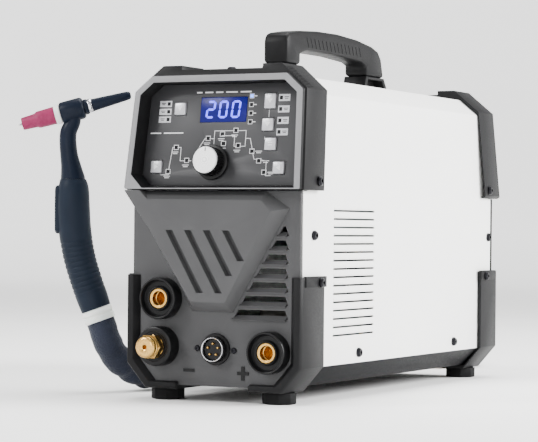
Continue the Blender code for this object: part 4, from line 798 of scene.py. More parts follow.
def makeLead():
    sleeve, path, sleeveLength, points = makeSleeve()
    cuff, hoseStart, heading = makeCuff(points)
    seamSpots, seamWays = [], []
    count = int(sleeveLength / sleeveLook["stitchPitch"])
    stations = stationsAlong(points, [sleeveLook["diameter"] / 2] * len(points))
    side = stations[0][2].orthogonal().normalized()
    for i, (centre, radius, tangent) in enumerate(stations):
        side = (side - tangent * side.dot(tangent)).normalized()
        other = tangent.cross(side)
        if i % max(1, len(stations) // count) == 0 and 2 < i < len(stations) - 4:
            for angle in (1.2 - 0.22, 1.2 + 0.22):
                reach = radius - 0.00045
                seamSpots.append(centre + (side * math.cos(angle) + other * math.sin(angle)) * reach)
                seamWays.append(tangent)
    stitches = grow("sleeve_stitches", trees["stitches"], {"Thread Radius": 0.0006, "Stitch Length": 0.0040,
                                                           "Material": finishes["plugNylon"]},
                    seamSpots, {"facing": seamWays})
    finishPiece(stitches, None, smooth=60)
    hose, hoseLength, hosePoints = makeHose(hoseStart, heading)
    plugs = makePlugs(hosePoints)
    print("lead laid: sleeve", round(sleeveLength, 3), "m, hose", round(hoseLength, 3), "m")


makeLead()

# ---- case, guards and feet

cornerRadius = {"upper_guard_front": 0.0007, "upper_guard_rear": 0.0007, "lower_guard_front_left": 0.0005,
                "lower_guard_front_right": 0.0005, "lower_guard_rear_left": 0.0005,
                "lower_guard_rear_right": 0.0005, "vent_cowl": 0.0004, "base_tray": 0.0004,
                "front_panel": 0.0004, "rear_panel": 0.0004}
nodeFinish = {"upper_guard_front": "guardAbs", "upper_guard_rear": "guardAbs", "vent_cowl": "cowlAbs",
              "base_tray": "charcoalPowder", "front_panel": "frontPanelAbs", "rear_panel": "charcoalPowder"}
slotsOnSide = {"count": 16, "top": 0.1895, "pitch": 0.00825, "start": 0.081, "length": 0.098,
               "halfWidth": 0.0925}
frontLouvres = {"count": 7, "firstSill": 0.1634, "pitch": 0.01352, "height": 0.0090, "right": 0.0775,
                "cowlEdge": ((0.0812, 0.1897), (0.0205, 0.0878)), "panelFace": 0.0064}


def paintRimHighlight(piece, rear):
    # painted highlight: the rim's leaning front face gets a paler, smoother copy of the pebbled guard
    # plastic, for the light that falls on it
    piece.data.materials.append(finishes["rimPaintedHighlight"])
    facing = Vector((0, -math.cos(leanAngle), math.sin(leanAngle)))
    for face in piece.data.polygons:
        centre, normal = face.center - machineShift, face.normal.copy()
        if rear:
            centre = Vector((-centre.x, caseLength - centre.y, centre.z))
            normal = Vector((-normal.x, -normal.y, normal.z))
        if normal.dot(facing) > 0.9 and abs(centre.y - rimAt(centre.z)) < 0.0012:
            face.material_index = 1


def makeCase():
    for node, radius in cornerRadius.items():
        piece = softened(node, radius, nodeFinish.get(node, "guardAbs"))
        # the upper guards' rim faces take the paler painted highlight
        if node.startswith("upper_guard"):
            paintRimHighlight(piece, node.endswith("rear"))
    softened("case_cover", 0.00045, "whitePowder", angle=25)
    for end in ("front", "rear"):
        for side in ("left", "right"):
            softened(f"foot_{end}_{side}", 0.0008, "footRubber", angle=40)


def makeSideLips():
    # pressed lips that hang over the slots and throw a thin shadow
    rows = []
    for side in (-1, 1):
        for i in range(slotsOnSide["count"]):
            z = slotsOnSide["top"] - i * slotsOnSide["pitch"] + 0.0016
            y = slotsOnSide["start"] + slotsOnSide["length"] / 2
            rows.append(((side * (slotsOnSide["halfWidth"] + 0.0002), y, z),
                         (0.0007, slotsOnSide["length"] - 0.001, 0.0014), (0, -side * 0.42, 0)))
    growBars("side_louvre_lips", "whitePowder", rows)


def makeFrontLips():
    # sloping blades across the front openings, cut short where the cowl covers them
    rows = []
    (ax, az), (bx, bz) = frontLouvres["cowlEdge"]
    for i in range(frontLouvres["count"]):
        z = frontLouvres["firstSill"] - i * frontLouvres["pitch"]
        left = ax + (bx - ax) * (az - z) / (az - bz) + 0.002
        right = frontLouvres["right"]
        rows.append((((left + right) / 2, frontLouvres["panelFace"] + 0.0012, z + 0.0010),
                     (right - left, 0.0075, 0.0014), (0.62, 0, 0)))
    growBars("front_louvre_blades", "frontPanelAbs", rows)


def makeScrews():
    half = slotsOnSide["halfWidth"]
    sideScrews = []
    for side in (-1, 1):
        for y, z in ((0.0353, 0.164), (0.1413, 0.0458), (0.3964, 0.0461), (0.5001, 0.1626)):
            sideScrews.append(((side * half, y, z), (side, 0, 0)))
        for y in (0.040, 0.480):
            sideScrews.append(((side * 0.0984, y, 0.1182), (side, 0, 0)))
        for y in (0.033, 0.487):
            sideScrews.append(((side * 0.0990, y, 0.2165), (side, 0, 0.08)))
    growScrews("cover_screws", sideScrews)
    growScrews("guard_top_screws", [((0, y, 0.3262), (0, 0, 1)) for y in (0.037, caseLength - 0.037)])
    panel = frontLouvres["panelFace"]
    besideConnector = ((-0.0189, 0.0525), (0.0216, 0.0513))
    growScrews("connector_screws", [((x, panel, z), (0, -1, 0)) for x, z in besideConnector],
               headRadius=0.0030, headHeight=0.0016, keyRadius=0.0012)
    rear, reach, fanHeight = caseLength - panel, 0.0525, 0.125
    growScrews("fan_screws", [((dx, rear, fanHeight + dz), (0, 1, 0)) for dx in (-reach, reach)
                              for dz in (-reach, reach)], headRadius=0.0036)


def makeGuardRidges():
    # fine ribs moulded across both shoulders of the front guard
    rows = []
    a, b = Vector((0.0950, 0, 0.306)), Vector((0.066, 0, 0.331))
    slope = math.atan2(b.z - a.z, a.x - b.x)
    ribs, before, spaces = 13, 1.2, 15.4      # the first rib stands a little in from the shoulder's end
    for side in (-1, 1):
        for i in range(ribs):
            spot = a.lerp(b, (i + before) / spaces)
            rows.append(((side * spot.x, rimAt(spot.z) + 0.0135, spot.z), (0.0009, 0.0150, 0.0009),
                         (0, side * slope, 0)))
    growBars("guard_shoulder_ribs", "guardAbs", rows)


makeCase()
makeSideLips()
makeFrontLips()
makeScrews()
makeGuardRidges()
print("case done")

# ---- control panel

keyPlaces = {"button_torch_mode": (-0.0506, 0.2884), "button_step_left": (-0.0728, 0.2305),
             "button_pulse": (0.0493, 0.2946), "button_polarity": (0.0484, 0.2715),
             "button_memory": (0.0527, 0.2524), "button_step_right": (0.0634, 0.2290)}
keySigns = {"button_torch_mode": "down", "button_step_left": "right", "button_pulse": "down",
            "button_polarity": "down", "button_memory": "bar", "button_step_right": "left"}
keyProud = 0.0022
displayLook = {"centre": (-0.0021, 0.2871), "size": (0.0510, 0.0246), "digits": "200", "pitch": 0.0140,
               "digitWidth": 0.0078, "digitHeight": 0.0155, "bar": 0.0021, "slant": 5.0}
segmentsOf = {"0": "abcdef", "1": "bc", "2": "abged", "3": "abgcd", "4": "fgbc", "5": "afgcd", "6": "afgedc",
              "7": "abc", "8": "abcdefg", "9": "abcdfg"}


def onPanel(boxes, name, finish, out=0.0, body="case", depth=0.00012, origin=knobPlace):
    # printed or lit shapes, given as (x, z, width, height, turn) with z as a height on the machine
    stretch = math.sqrt(1 + lean * lean)
    ox, oz = origin
    local = [(x - ox, (z - oz) * stretch, w, h, turn) for x, z, w, h, turn in boxes]
    return pieceFrom(slabs(local, depth), name, finish, body, matrix=panelMatrix(ox, oz, out), smooth=0)


def lineBoxes(points, width):
    # a drawn line as short straight boxes from point to point
    boxes = []
    for (x1, z1), (x2, z2) in zip(points, points[1:]):
        length = math.hypot(x2 - x1, z2 - z1)
        boxes.append(((x1 + x2) / 2, (z1 + z2) / 2, length + width, width,
                      math.degrees(math.atan2(z2 - z1, x2 - x1))))
    return boxes


def frameBoxes(x, z, width, height, line):
    return [(x, z + height / 2, width + line, line, 0), (x, z - height / 2, width + line, line, 0),
            (x - width / 2, z, line, height - line, 0), (x + width / 2, z, line, height - line, 0)]


def labelBars(x, z, width, rows=2, line=0.0007, pitch=0.0016):
    # where small captions stand, plain bars of uneven length: no lettering is drawn
    boxes = []
    for row in range(rows):
        share = (1.0, 0.72, 0.86)[row % 3]
        boxes.append((x, z - row * pitch, width * share, line, 0))
    return boxes


cycleLines = [[(-0.0676, 0.2227), (-0.0590, 0.2227), (-0.0590, 0.2285), (-0.0564, 0.2500),
               (-0.0469, 0.2500), (-0.0469, 0.2366), (-0.0346, 0.2366)],
              [(-0.0277, 0.2477), (-0.0208, 0.2583), (-0.0103, 0.2583)],
              [(-0.0103, 0.2530), (-0.0103, 0.2660), (0.0246, 0.2660), (0.0246, 0.2505), (0.0123, 0.2505),
               (0.0123, 0.2611), (-0.0015, 0.2611)],
              [(0.0246, 0.2582), (0.0298, 0.2582), (0.0353, 0.2379), (0.0491, 0.2360), (0.0491, 0.2216),
               (0.0546, 0.2216)]]
cycleLamps = [(-0.0597, 0.2260), (-0.0524, 0.2500), (-0.0395, 0.2370), (-0.0171, 0.2587),
              (-0.0015, 0.2628), (0.0132, 0.2663), (0.0004, 0.2534), (0.0169, 0.2513), (0.0325, 0.2456),
              (0.0408, 0.2361), (0.0473, 0.2249)]


def makePanelPrint():
    softened("control_panel", 0.00025, "film")
    boxes = []
    for line in cycleLines:
        boxes += lineBoxes(line, 0.00055)
    for x, z in cycleLamps:
        boxes += frameBoxes(x, z, 0.0048, 0.0044, 0.0005)
        beside = x > 0.02      # on the right the captions stand beside their lamps, and else below
        labelX, labelZ = (x + 0.0075, z) if beside else (x - 0.0010, z - 0.0046)
        boxes += labelBars(labelX, labelZ, 0.0072, 2, 0.0006)
    grounds, dark = [], []
    for i in range(3):
        grounds.append((-0.0680, 0.2937 - i * 0.0078, 0.0136, 0.0062, 0))
        dark += labelBars(-0.0705, 0.2944 - i * 0.0078, 0.0048, 2, 0.0007, 0.0014)
    for i in range(4):
        grounds.append((0.0640, 0.2978 - i * 0.0112, 0.0122, 0.0068, 0))
        dark += labelBars(0.0664, 0.2985 - i * 0.0112, 0.0050, 2, 0.0007, 0.0015)
        boxes += labelBars(0.0322, 0.3000 - i * 0.0085, 0.0034, 1, 0.0008)
        boxes += frameBoxes(0.0283, 0.3000 - i * 0.0085, 0.0044, 0.0042, 0.0004)
    headings = ((-0.0335, 0.3044, 0.0013, (6, 9, 8, 13, 12)), (-0.0830, 0.2644, 0.0011, (12, 22)))
    for start, z, height, words in headings:      # words are bars, with their widths in mm
        for word in words:
            boxes.append((start + word / 2000, z, word / 1000, height, 0))
            start += word / 1000 + 0.0032
    boxes += lineBoxes([(0.0484, 0.2860), (0.0484, 0.2790)], 0.0004)
    boxes += lineBoxes([(0.0455, 0.2595), (0.0455, 0.2570)], 0.0004)
    onPanel(boxes, "panel_print", "ink")
    unlit = [(x, z, 0.0034, 0.0030, 0) for x, z in cycleLamps]
    onPanel(grounds, "indicator_grounds", "buttonSilver", depth=0.0001)
    unlit += dark
    unlit += [(-0.0643, 0.2937 - i * 0.0078, 0.0034, 0.0036, 0) for i in range(3)]
    unlit += [(0.0606, 0.2978 - i * 0.0112, 0.0034, 0.0038, 0) for i in range(4)]
    unlit += [(0.0283, 0.2915 - i * 0.0085, 0.0028, 0.0028, 0) for i in range(3)]
    onPanel(unlit, "indicator_windows", "fanNylon", depth=0.0002)
    onPanel([(0.0283, 0.3000, 0.0030, 0.0030, 0)], "lit_indicator", "blueLamp", depth=0.0003)


def barOutline(length, tip):
    # a lit bar lying along x, pointed at both ends
    end, shoulder = length / 2 + tip * 0.6, length / 2 - tip * 0.4
    return [(-end, 0), (-shoulder, tip), (shoulder, tip), (end, 0), (shoulder, -tip), (-shoulder, -tip)]


def makeDisplay():
    softened("display_window", 0.0004, "window")
    look = displayLook
    w, h, bar = look["digitWidth"], look["digitHeight"], look["bar"]
    upright = h / 2 - bar * 0.7
    segments = {"a": (0, h / 2, w - bar, bar), "g": (0, 0, w - bar, bar), "d": (0, -h / 2, w - bar, bar),
                "f": (-w / 2, h / 4, bar, upright), "b": (w / 2, h / 4, bar, upright),
                "e": (-w / 2, -h / 4, bar, upright), "c": (w / 2, -h / 4, bar, upright)}
    bm = bmesh.new()
    slant = math.tan(math.radians(look["slant"]))
    for i, digit in enumerate(look["digits"]):
        centre = (i - (len(look["digits"]) - 1) / 2) * look["pitch"]
        for name in segmentsOf[digit]:
            dx, dz, width, height = segments[name]
            outline = barOutline(max(width, height), min(width, height) / 2)
            if height > width:
                outline = [(-across, along) for along, across in outline]
            places = [(centre + dx + px + (dz + pz) * slant, dz + pz) for px, pz in outline]
            front = [bm.verts.new((x, -0.00015, z)) for x, z in places]
            back = [bm.verts.new((x, 0.0, z)) for x, z in places]
            bm.faces.new(front)
            bm.faces.new(back[::-1])
            bridgeRows(bm, [back, front])
    pieceFrom(bm, "display_digits", "digits", matrix=panelMatrix(*look["centre"], 0.0007), smooth=0)


def makeKeys():
    for name, place in keyPlaces.items():
        softened(name, 0.0011, "buttonSilver", name + "_body", segments=3)
        x, z = place
        sign = keySigns[name]
        if sign == "bar":
            boxes = [(x, z + 0.0012, 0.0048, 0.0010, 0), (x, z - 0.0012, 0.0048, 0.0010, 0)]
        else:
            boxes = []
            for k in range(7):      # an arrowhead, as seven lines that get shorter
                width = 0.0052 * (1 - k / 7)
                step = 0.0006 * (k - 3)
                boxes.append({"down": (x, z - step, width, 0.00062, 0),
                              "right": (x + step, z, 0.00062, width, 0),
                              "left": (x - step, z, 0.00062, width, 0)}[sign])
        onPanel(boxes, name + "_sign", "ink", keyProud, name + "_body", 0.0001, place)


def makeKnob():
    place = panelMatrix(*knobPlace)
    onAxis = place @ turnForward
    fluted = grow("knob_fluted_body", trees["fluted"], {"Radius": 0.0141, "Height": 0.0128, "Flutes": 26.0,
                                                        "Flute Depth": 0.00045,
                                                        "Material": finishes["socketNylon"]})
    finishPiece(fluted, None, "encoder_knob_body", ["encoder_knob"],
                onAxis @ Matrix.Translation((0, 0, 0.0042)), 30)
    skirt = [(0, -0.012), (0.003, -0.012), (0.003, 0.0015), (0.0168, 0.0015), (0.0174, 0.0019),
             (0.0175, 0.0030), (0.0170, 0.0038), (0.0150, 0.0044), (0, 0.0044)]
    turned("knob_skirt", skirt, "socketNylon", "encoder_knob_body", matrix=onAxis)
    cap = [(0, 0.0165), (0.0133, 0.0165), (0.0133, 0.0178), (0.0129, 0.0186), (0.0120, 0.0190),
           (0.0116, 0.0187), (0, 0.0187)]
    turned("knob_spun_cap", cap, "knobCap", "encoder_knob_body", matrix=onAxis)
    mark = [(0, 0.0105, 0.0010, 0.0042, 0)]
    pieceFrom(slabs(mark, 0.0001), "knob_mark", "socketNylon", "encoder_knob_body",
              matrix=place @ Matrix.Translation((0, -0.0188, 0)), smooth=0)


makePanelPrint()
makeDisplay()
makeKeys()
makeKnob()
print("control panel done")

# ---- cable sockets, gas outlet and control connector

cableSockets = {"left": (-0.0571, 0.1006), "right": (0.0623, 0.0507)}
gasOutlet = (-0.0590, 0.0535)
controlSocket = (0.0020, 0.0520)


def forwardAt(x, z):
    return Matrix.Translation((x, 0, z)) @ turnForward


def makeCableSockets():
    # a nylon collar with a chamfered lip round a brass insert with its locking groove
    collar = [(0.0101, -0.030), (0.0140, -0.030), (0.0140, -0.0061), (0.0205, -0.0061), (0.0205, 0.0058),
              (0.0203, 0.0072), (0.0199, 0.0079), (0.0192, 0.0080), (0.0185, 0.0077), (0.0181, 0.0070),
              (0.0172, 0.0022), (0.0165, 0.0016), (0.0124, 0.0016), (0.0118, 0.0022), (0.0116, 0.0048),
              (0.0112, 0.0053), (0.0105, 0.0052), (0.0101, 0.0046)]
    insert = [(0, -0.036), (0.0098, -0.036), (0.0098, 0.0042), (0.0094, 0.0049), (0.0088, 0.0050),
              (0.0076, 0.0050), (0.0071, 0.0047), (0.0068, 0.0042), (0.0068, 0.0010), (0.0074, 0.0006),
              (0.0074, -0.0030), (0.0068, -0.0034), (0.0068, -0.0275), (0, -0.0275)]
    for side, (x, z) in cableSockets.items():
        turned(f"socket_collar_{side}_finished", collar, "socketNylon",
               replaced=[f"weld_socket_collar_{side}"], matrix=forwardAt(x, z))
        turned(f"socket_insert_{side}_finished", insert, "brass",
               replaced=[f"weld_socket_insert_{side}"], matrix=forwardAt(x, z))


def makeGasOutlet():
    flange = [(0.0073, -0.0061), (0.0195, -0.0061), (0.0195, 0.0080), (0.0190, 0.0094), (0.0180, 0.0100),
              (0.0150, 0.0100), (0.0146, 0.0094), (0.0138, 0.0094), (0.0134, 0.0100), (0.0073, 0.0100)]
    turned("gas_flange_finished", flange, "socketNylon", replaced=["gas_outlet_flange"],
           matrix=forwardAt(*gasOutlet))
    stem = [(0, -0.022), (0.0070, -0.022), (0.0070, 0.0103), (0.0112, 0.0103), (0.0112, 0.0110),
            (0.0108, 0.0112), (0.0108, 0.0206), (0.0112, 0.0210), (0.0112, 0.0226), (0.0106, 0.0232),
            (0.0108, 0.0240), (0.0108, 0.0262), (0.0100, 0.0276), (0.0086, 0.0286), (0.0070, 0.0288),
            (0.0040, 0.0288),
            (0.0024, 0.0280), (0.0022, 0.0270), (0.0022, 0.0150), (0, 0.0150)]
    turned("gas_nipple_finished", stem, "brass", replaced=["gas_outlet_nipple"], matrix=forwardAt(*gasOutlet))
    bm = bmesh.new()
    across = 0.0128      # the nut's middle to its corners
    layers = ((0.0108, 0.93), (0.0116, 1.0), (0.0196, 1.0), (0.0204, 0.93))
    rows = [ringRow(bm, across * share, height, 6) for height, share in layers]
    bm.faces.new(rows[0][::-1])
    bm.faces.new(rows[-1])
    bridgeRows(bm, rows)
    pieceFrom(bm, "gas_nut", "brass", matrix=forwardAt(*gasOutlet), smooth=20)


def makeControlConnector():
    shell = [(0.0122, -0.018), (0.0125, -0.018), (0.0125, -0.0061), (0.0155, -0.0061), (0.0155, -0.0042),
             (0.0150, -0.0036), (0.0128, -0.0036), (0.0125, -0.0030), (0.0125, 0.0008), (0.0122, 0.0010)]
    turned("connector_flange", shell, "socketNylon", replaced=["control_connector_shell"],
           matrix=forwardAt(*controlSocket))
    ring = [(0.0108, -0.017), (0.0120, -0.017), (0.0120, 0.0020), (0.0117, 0.0029), (0.0113, 0.0030),
            (0.0109, 0.0026), (0.0108, 0.0018)]
    turned("connector_ring", ring, "chrome", matrix=forwardAt(*controlSocket))
    core = [(0, -0.020), (0.0105, -0.020), (0.0105, -0.0016), (0.0100, -0.0010), (0, -0.0010)]
    turned("connector_core", core, "socketNylon", replaced=["control_connector_insert"],
           matrix=forwardAt(*controlSocket), sides=72)
    pins = [(0, -0.0012), (0.0011, -0.0012), (0.0011, 0.0010), (0.0007, 0.0016), (0, 0.0016)]
    x, z = controlSocket
    pinCircle = 0.0058
    for k in range(5):
        a = math.radians(90 + 72 * k)
        turned(f"connector_pin_{k + 1}", pins, "brass", sides=16,
               matrix=forwardAt(x + pinCircle * math.cos(a), z + pinCircle * math.sin(a)))


def makePolarityMarkShade():
    # painted shade: near-black slabs stand over the recessed minus and plus marks, dark for the shade inside
    # the recesses
    face = frontLouvres["panelFace"]
    marks = [(-0.0281, 0.0306, 0.0118, 0.0032, 0), (0.0317, 0.0295, 0.0122, 0.0033, 0),
             (0.0317, 0.0338, 0.0033, 0.0053, 0), (0.0317, 0.0252, 0.0033, 0.0053, 0)]
    pieceFrom(slabs(marks, 0.0011), "polarity_mark_shade", "socketNylon",
              matrix=Matrix.Translation((0, face, 0)), smooth=0)


makeCableSockets()
makeGasOutlet()
makeControlConnector()
makePolarityMarkShade()
print("sockets done")

# ---- handle

handleLook = {"gapFront": 0.1645, "gapRear": 0.3296, "under": 0.3570, "halfWidth": 0.0140, "ribs": 15}


def makeHandle():
    for node in ("handle_grip", "handle_bracket_front", "handle_bracket_rear"):
        softened(node, 0.0006, "handleAbs", segments=2, angle=35)
    look = handleLook
    fromFront, fromRear = 0.016, 0.018      # from the finger gap's ends to the first and last rib
    first = look["gapFront"] + fromFront
    pitch = (look["gapRear"] - look["gapFront"] - fromFront - fromRear) / (look["ribs"] - 1)
    rows = [((side * (look["halfWidth"] - 0.0001), first + i * pitch, look["under"] + 0.0085),
             (0.0008, 0.0022, 0.0110), (0.45, 0, 0)) for i in range(look["ribs"]) for side in (-1, 1)]
    growBars("handle_grip_ribs", "handleAbs", rows)


makeHandle()
print("handle done")

# ---- torch

alongHead = Matrix.Rotation(math.radians(90), 4, "Y")
neckPath = [(-0.0015, 0.2877, 0.0074), (-0.0012, 0.2790, 0.0078), (-0.0056, 0.2690, 0.0086),
            (-0.0064, 0.2590, 0.0088), (-0.0050, 0.2440, 0.0092), (-0.0030, 0.2330, 0.0104),
            (-0.0008, 0.2193, 0.0128)]
gripPath = [(-0.0008, 0.2190, 0.0135), (-0.0002, 0.2090, 0.0160), (0.0000, 0.1900, 0.0170),
            (0.0020, 0.1650, 0.0168), (0.0070, 0.1380, 0.0166), (0.0150, 0.1120, 0.0164),
            (0.0205, 0.0970, 0.0162), (0.0245, 0.0860, 0.0155)]
torchTrigger = {"height": 0.1880, "length": 0.050, "width": 0.013, "back": -0.0110}


def pathStations(path, count, flatStart=False, flatEnd=False):
    # a smooth run of sections through (u, z, radius) points in the torch's plane
    centres, _ = curvePoints([(u, 0, z) for u, z, _ in path], count)
    smoothRadii, _ = curvePoints([(z, r, 0) for _, z, r in path], count * 3)
    ordered = sorted((p.x, p.y) for p in smoothRadii)
    radii = [min(ordered, key=lambda pair: abs(pair[0] - centre.z))[1] for centre in centres]
    stations = stationsAlong(centres, radii)
    down = Vector((0, 0, -1))
    for index, flat in ((0, flatStart), (-1, flatEnd)):
        if flat:
            stations[index] = (*stations[index][:2], down)
    return stations


def headPiece(name, profile, finish, body="case", replaced=(), sides=72, wave=None):
    return turned(name, profile, finish, body, replaced, headMatrix @ alongHead, sides, wave)


def makeTorchHead():
    root, tip = -0.0170, -0.0520
    cup = [(0.0050, root), (0.0092, root), (0.0091, root - 0.004), (0.0088, root - 0.0165),
           (0.0084, root - 0.0186), (0.0076, root - 0.0198), (0.0072, root - 0.0215), (0.0065, tip + 0.0012),
           (0.0062, tip + 0.0002), (0.0057, tip), (0.0052, tip + 0.0004), (0.0050, tip + 0.0015)]
    headPiece("gas_cup", cup, "alumina", replaced=["torch_cup"])
    ring = [(0.0016, root + 0.0003), (0.0094, root + 0.0003), (0.0100, root + 0.0009),
            (0.0100, root + 0.0052), (0.0095, root + 0.0059), (0.0016, root + 0.0059)]
    headPiece("cup_gasket", ring, "ptfe", replaced=["torch_insulator"])
    rod = [(0, tip - 0.004), (0.0003, tip - 0.0036), (0.0012, tip - 0.001), (0.0012, root + 0.006),
           (0, root + 0.006)]
    headPiece("tungsten_rod", rod, "tungsten", replaced=["torch_electrode"], sides=24)
    cap = [(0, 0.0143), (0.0074, 0.0143), (0.0078, 0.0148), (0.0078, 0.0176), (0.0074, 0.0183),
           (0.0068, 0.0190), (0.0062, 0.0290), (0.0056, 0.0400), (0.0050, 0.0520), (0.0046, 0.0590),
           (0.0042, 0.0618), (0.0034, 0.0634), (0.0018, 0.0640), (0, 0.0640)]
    headPiece("back_cap_long", cap, "torchPhenolic", "torch_back_cap_body", ["torch_back_cap"], 72,
              lambda a, r, h: 0.00018 * math.cos(20 * a) if 0.0145 < h < 0.0180 else 0)
    band = [(0.0060, 0.0190), (0.0073, 0.0190), (0.0075, 0.0194), (0.0073, 0.0222), (0.0070, 0.0226),
            (0.0060, 0.0226)]
    headPiece("back_cap_band", band, "chrome", "torch_back_cap_body")


def makeTorchBody():
    head = [(0, -0.0107), (0.0098, -0.0107), (0.0108, -0.0100), (0.0114, -0.0088), (0.0114, 0.0108),
            (0.0110, 0.0122), (0.0102, 0.0134), (0.0092, 0.0140), (0, 0.0140)]
    headPiece("torch_head", head, "torchPhenolic", replaced=["torch_body"])
    neck = sweptMesh(pathStations(neckPath, 60, flatEnd=True), 64)
    pieceFrom(neck, "torch_neck", "torchPhenolic", matrix=torchMatrix)


def gripShape(angle, i, centre):
    # moulded rings below the trigger, fading out at both ends
    z = centre.z
    fade = max(0.0, min(1.0, (0.160 - z) / 0.006, (z - 0.100) / 0.006))
    ring = max(0.0, math.cos(math.tau * z / 0.0050)) ** 2
    return -0.0006 * fade * ring


def slotOutline(half, wide):
    # (across, along) points round a slot with half-round ends
    outline = []
    for centre, start in ((half - wide, 0.0), (wide - half, math.pi)):
        for k in range(17):
            a = start + math.pi * k / 16
            outline.append((wide * math.cos(a), centre + wide * math.sin(a)))
    return outline


def slotRow(bm, x, half, wide):
    return [bm.verts.new((x, y, z + torchTrigger["height"])) for y, z in slotOutline(half, wide)]


def pocketCutter():
    # a little larger than the trigger, from outside the grip to just behind the trigger's back
    spare = 0.0005
    bm = bmesh.new()
    half, wide = torchTrigger["length"] / 2 + spare, torchTrigger["width"] / 2 + spare
    near = slotRow(bm, -0.030, half, wide)
    far = slotRow(bm, torchTrigger["back"] + 0.0025, half, wide)
    bm.faces.new(near)
    bm.faces.new(far[::-1])
    bridgeRows(bm, [far, near])
    bmesh.ops.recalc_face_normals(bm, faces=bm.faces)
    mesh = bpy.data.meshes.new("pocket")
    bm.to_mesh(mesh)
    bm.free()
    mesh.transform(Matrix.Translation(machineShift) @ torchMatrix)
    return linkMesh("pocket_cutter", mesh)


def makeTorchGrip():
    bm = sweptMesh(pathStations(gripPath, 260, True), 72, gripShape)
    grip = pieceFrom(bm, "torch_grip", "torchGripNylon", replaced=["torch_handle"], matrix=torchMatrix,
                     smooth=50)
    cutter = pocketCutter()
    modifier = grip.modifiers.new("pocket", "BOOLEAN")
    modifier.operation = "DIFFERENCE"
    modifier.solver = "EXACT"
    modifier.object = cutter
    graph = bpy.context.evaluated_depsgraph_get()
    carved = bpy.data.meshes.new_from_object(grip.evaluated_get(graph))
    grip.modifiers.clear()
    grip.data = carved
    bpy.data.objects.remove(cutter)
    carved.shade_smooth()
    carved.set_sharp_from_angle(angle=math.radians(50))


def makeTorchTrigger():
    bm = bmesh.new()
    half, wide = torchTrigger["length"] / 2, torchTrigger["width"] / 2
    layers = [(0.0, 0.0), (0.0056, 0.0), (0.0068, 0.0006), (0.0076, 0.0016), (0.0080, 0.0030)]
    rows = [slotRow(bm, torchTrigger["back"] - height, half - shrink, wide - shrink)
            for height, shrink in layers]
    bm.faces.new(rows[0])
    bm.faces.new(rows[-1][::-1])
    bridgeRows(bm, rows)
    pieceFrom(bm, "trigger_pad", "torchGripNylon", "torch_trigger_body", ["torch_trigger"], torchMatrix)
    top = torchTrigger["back"] - layers[-1][0]
    ribs = [((top, 0, torchTrigger["height"] - 0.012 + i * 0.0030), (0.0008, 0.0056, 0.0010), (0, 0, 0))
            for i in range(9)]
    growBars("trigger_ribs", "torchGripNylon", ribs, "torch_trigger_body", torchMatrix)


def makeTorchCollar():
    # the knuckle between the grip and the leather
    (u1, z1), (u2, z2) = handleEnd
    along = Vector((u2 - u1, 0, z2 - z1)).normalized()
    start = Vector((u2, 0, z2)) + along * partGap
    profile = [(0, 0.0150), (0.0008, 0.0158), (0.0016, 0.0160), (0.0050, 0.0160), (0.0056, 0.0152),
               (0.0074, 0.0152), (0.0080, 0.0160), (0.0114, 0.0160), (0.0122, 0.0158), (0.0130, 0.0152)]
    stations = [(start + along * distance, radius, along) for distance, radius in profile]
    pieceFrom(sweptMesh(stations, 72), "grip_collar", "ptfe", replaced=["torch_collar"], matrix=torchMatrix)


makeTorchHead()
makeTorchBody()
makeTorchGrip()
makeTorchTrigger()
makeTorchCollar()
print("torch done")

# ---- rear fittings and the inside, which keep their CAD shapes

plainNodes = {"rear_switch_plate": "film", "mains_switch_housing": "socketNylon",
              "mains_switch_rocker": "socketNylon", "gas_inlet": "brass", "cable_gland": "socketNylon",
              "fan_frame": "fanNylon", "fan_rotor": "fanNylon", "main_board": "board",
              "heat_sink": "aluminium", "transformer": "iron", "gas_valve": "brass"}


def makeRearAndInside():
    for node, finish in plainNodes.items():
        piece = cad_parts[node]
        piece.data.materials.clear()
        piece.data.materials.append(finishes[finish])


makeRearAndInside()
print("rear and inside done")

# ---- studio

studioLook = {"floor": "fafafa", "flat": 4.5, "curve": 3.6, "sides": 96, "edgeGlow": 1.1, "world": "ffffff",
              "worldStrength": 0.8}


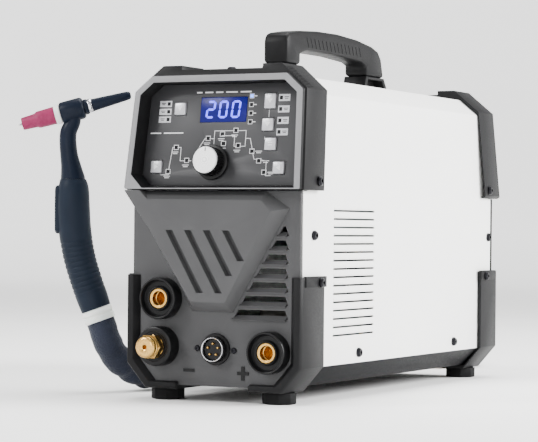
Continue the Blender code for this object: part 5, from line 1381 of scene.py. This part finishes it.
def makeFloor():
    # a round paper floor that curves up far behind whichever side is looked at, and glows towards its edge
    look = studioLook
    profile = [(0, 0), (1.0, 0), (2.0, 0), (3.0, 0), (look["flat"], 0)]
    for degrees in range(5, 61, 5):
        a = math.radians(degrees)
        profile.append((look["flat"] + look["curve"] * math.sin(a), look["curve"] * (1 - math.cos(a))))
    bm = bmesh.new()
    middle = bm.verts.new((0, 0, 0))
    rows = [ringRow(bm, radius, height, look["sides"]) for radius, height in profile[1:]]
    for k in range(look["sides"]):
        bm.faces.new((middle, rows[0][k], rows[0][(k + 1) % look["sides"]]))
    bridgeRows(bm, rows[::-1])      # outermost first, so that the faces point up
    mesh = bpy.data.meshes.new("studio_floor")
    bm.to_mesh(mesh)
    bm.free()
    mesh.shade_smooth()
    material, tree, shader, coords = startMaterial("paperSweep", Roughness=0.9, Specular_IOR_Level=0.1)
    join(tree, shader, blendTones(tree, spots(tree, coords, 400, 2), look["floor"], "f2f2f0"))
    away = addNode(tree, "ShaderNodeVectorMath", {0: coords}, operation="LENGTH").outputs["Value"]
    tree.links.new(between(tree, away, 0.0, look["edgeGlow"], 2.0, look["flat"] + 1.0),
                   shader.inputs["Emission Strength"])
    shader.inputs["Emission Color"].default_value = linearColour("ffffff")
    mesh.materials.append(material)
    return linkMesh("studio_floor", mesh)


def makeStudio():
    floor = makeFloor()
    world = bpy.data.worlds.new("studio")
    world.use_nodes = True
    background = world.node_tree.nodes["Background"]
    background.inputs["Color"].default_value = linearColour(studioLook["world"])
    background.inputs["Strength"].default_value = studioLook["worldStrength"]
    bpy.context.scene.world = world
    softboxes = [("key", (-1.5, -1.9, 1.8), 1.0, 75), ("side", (2.4, 0.8, 1.2), 1.3, 200),
                 ("top", (0.1, 0.4, 2.4), 1.6, 80), ("front", (0.3, -2.6, 0.7), 0.8, 12)]
    aim = Vector((0, 0, 0.2))
    for name, place, size, watts in softboxes:
        light = bpy.data.lights.new(name, "AREA")
        light.energy = watts
        light.size = size
        lamp = bpy.data.objects.new(name, light)
        lamp.location = place
        lamp.rotation_euler = (aim - Vector(place)).to_track_quat("-Z", "Y").to_euler()
        bpy.context.scene.collection.objects.link(lamp)


makeStudio()
print("studio ready")
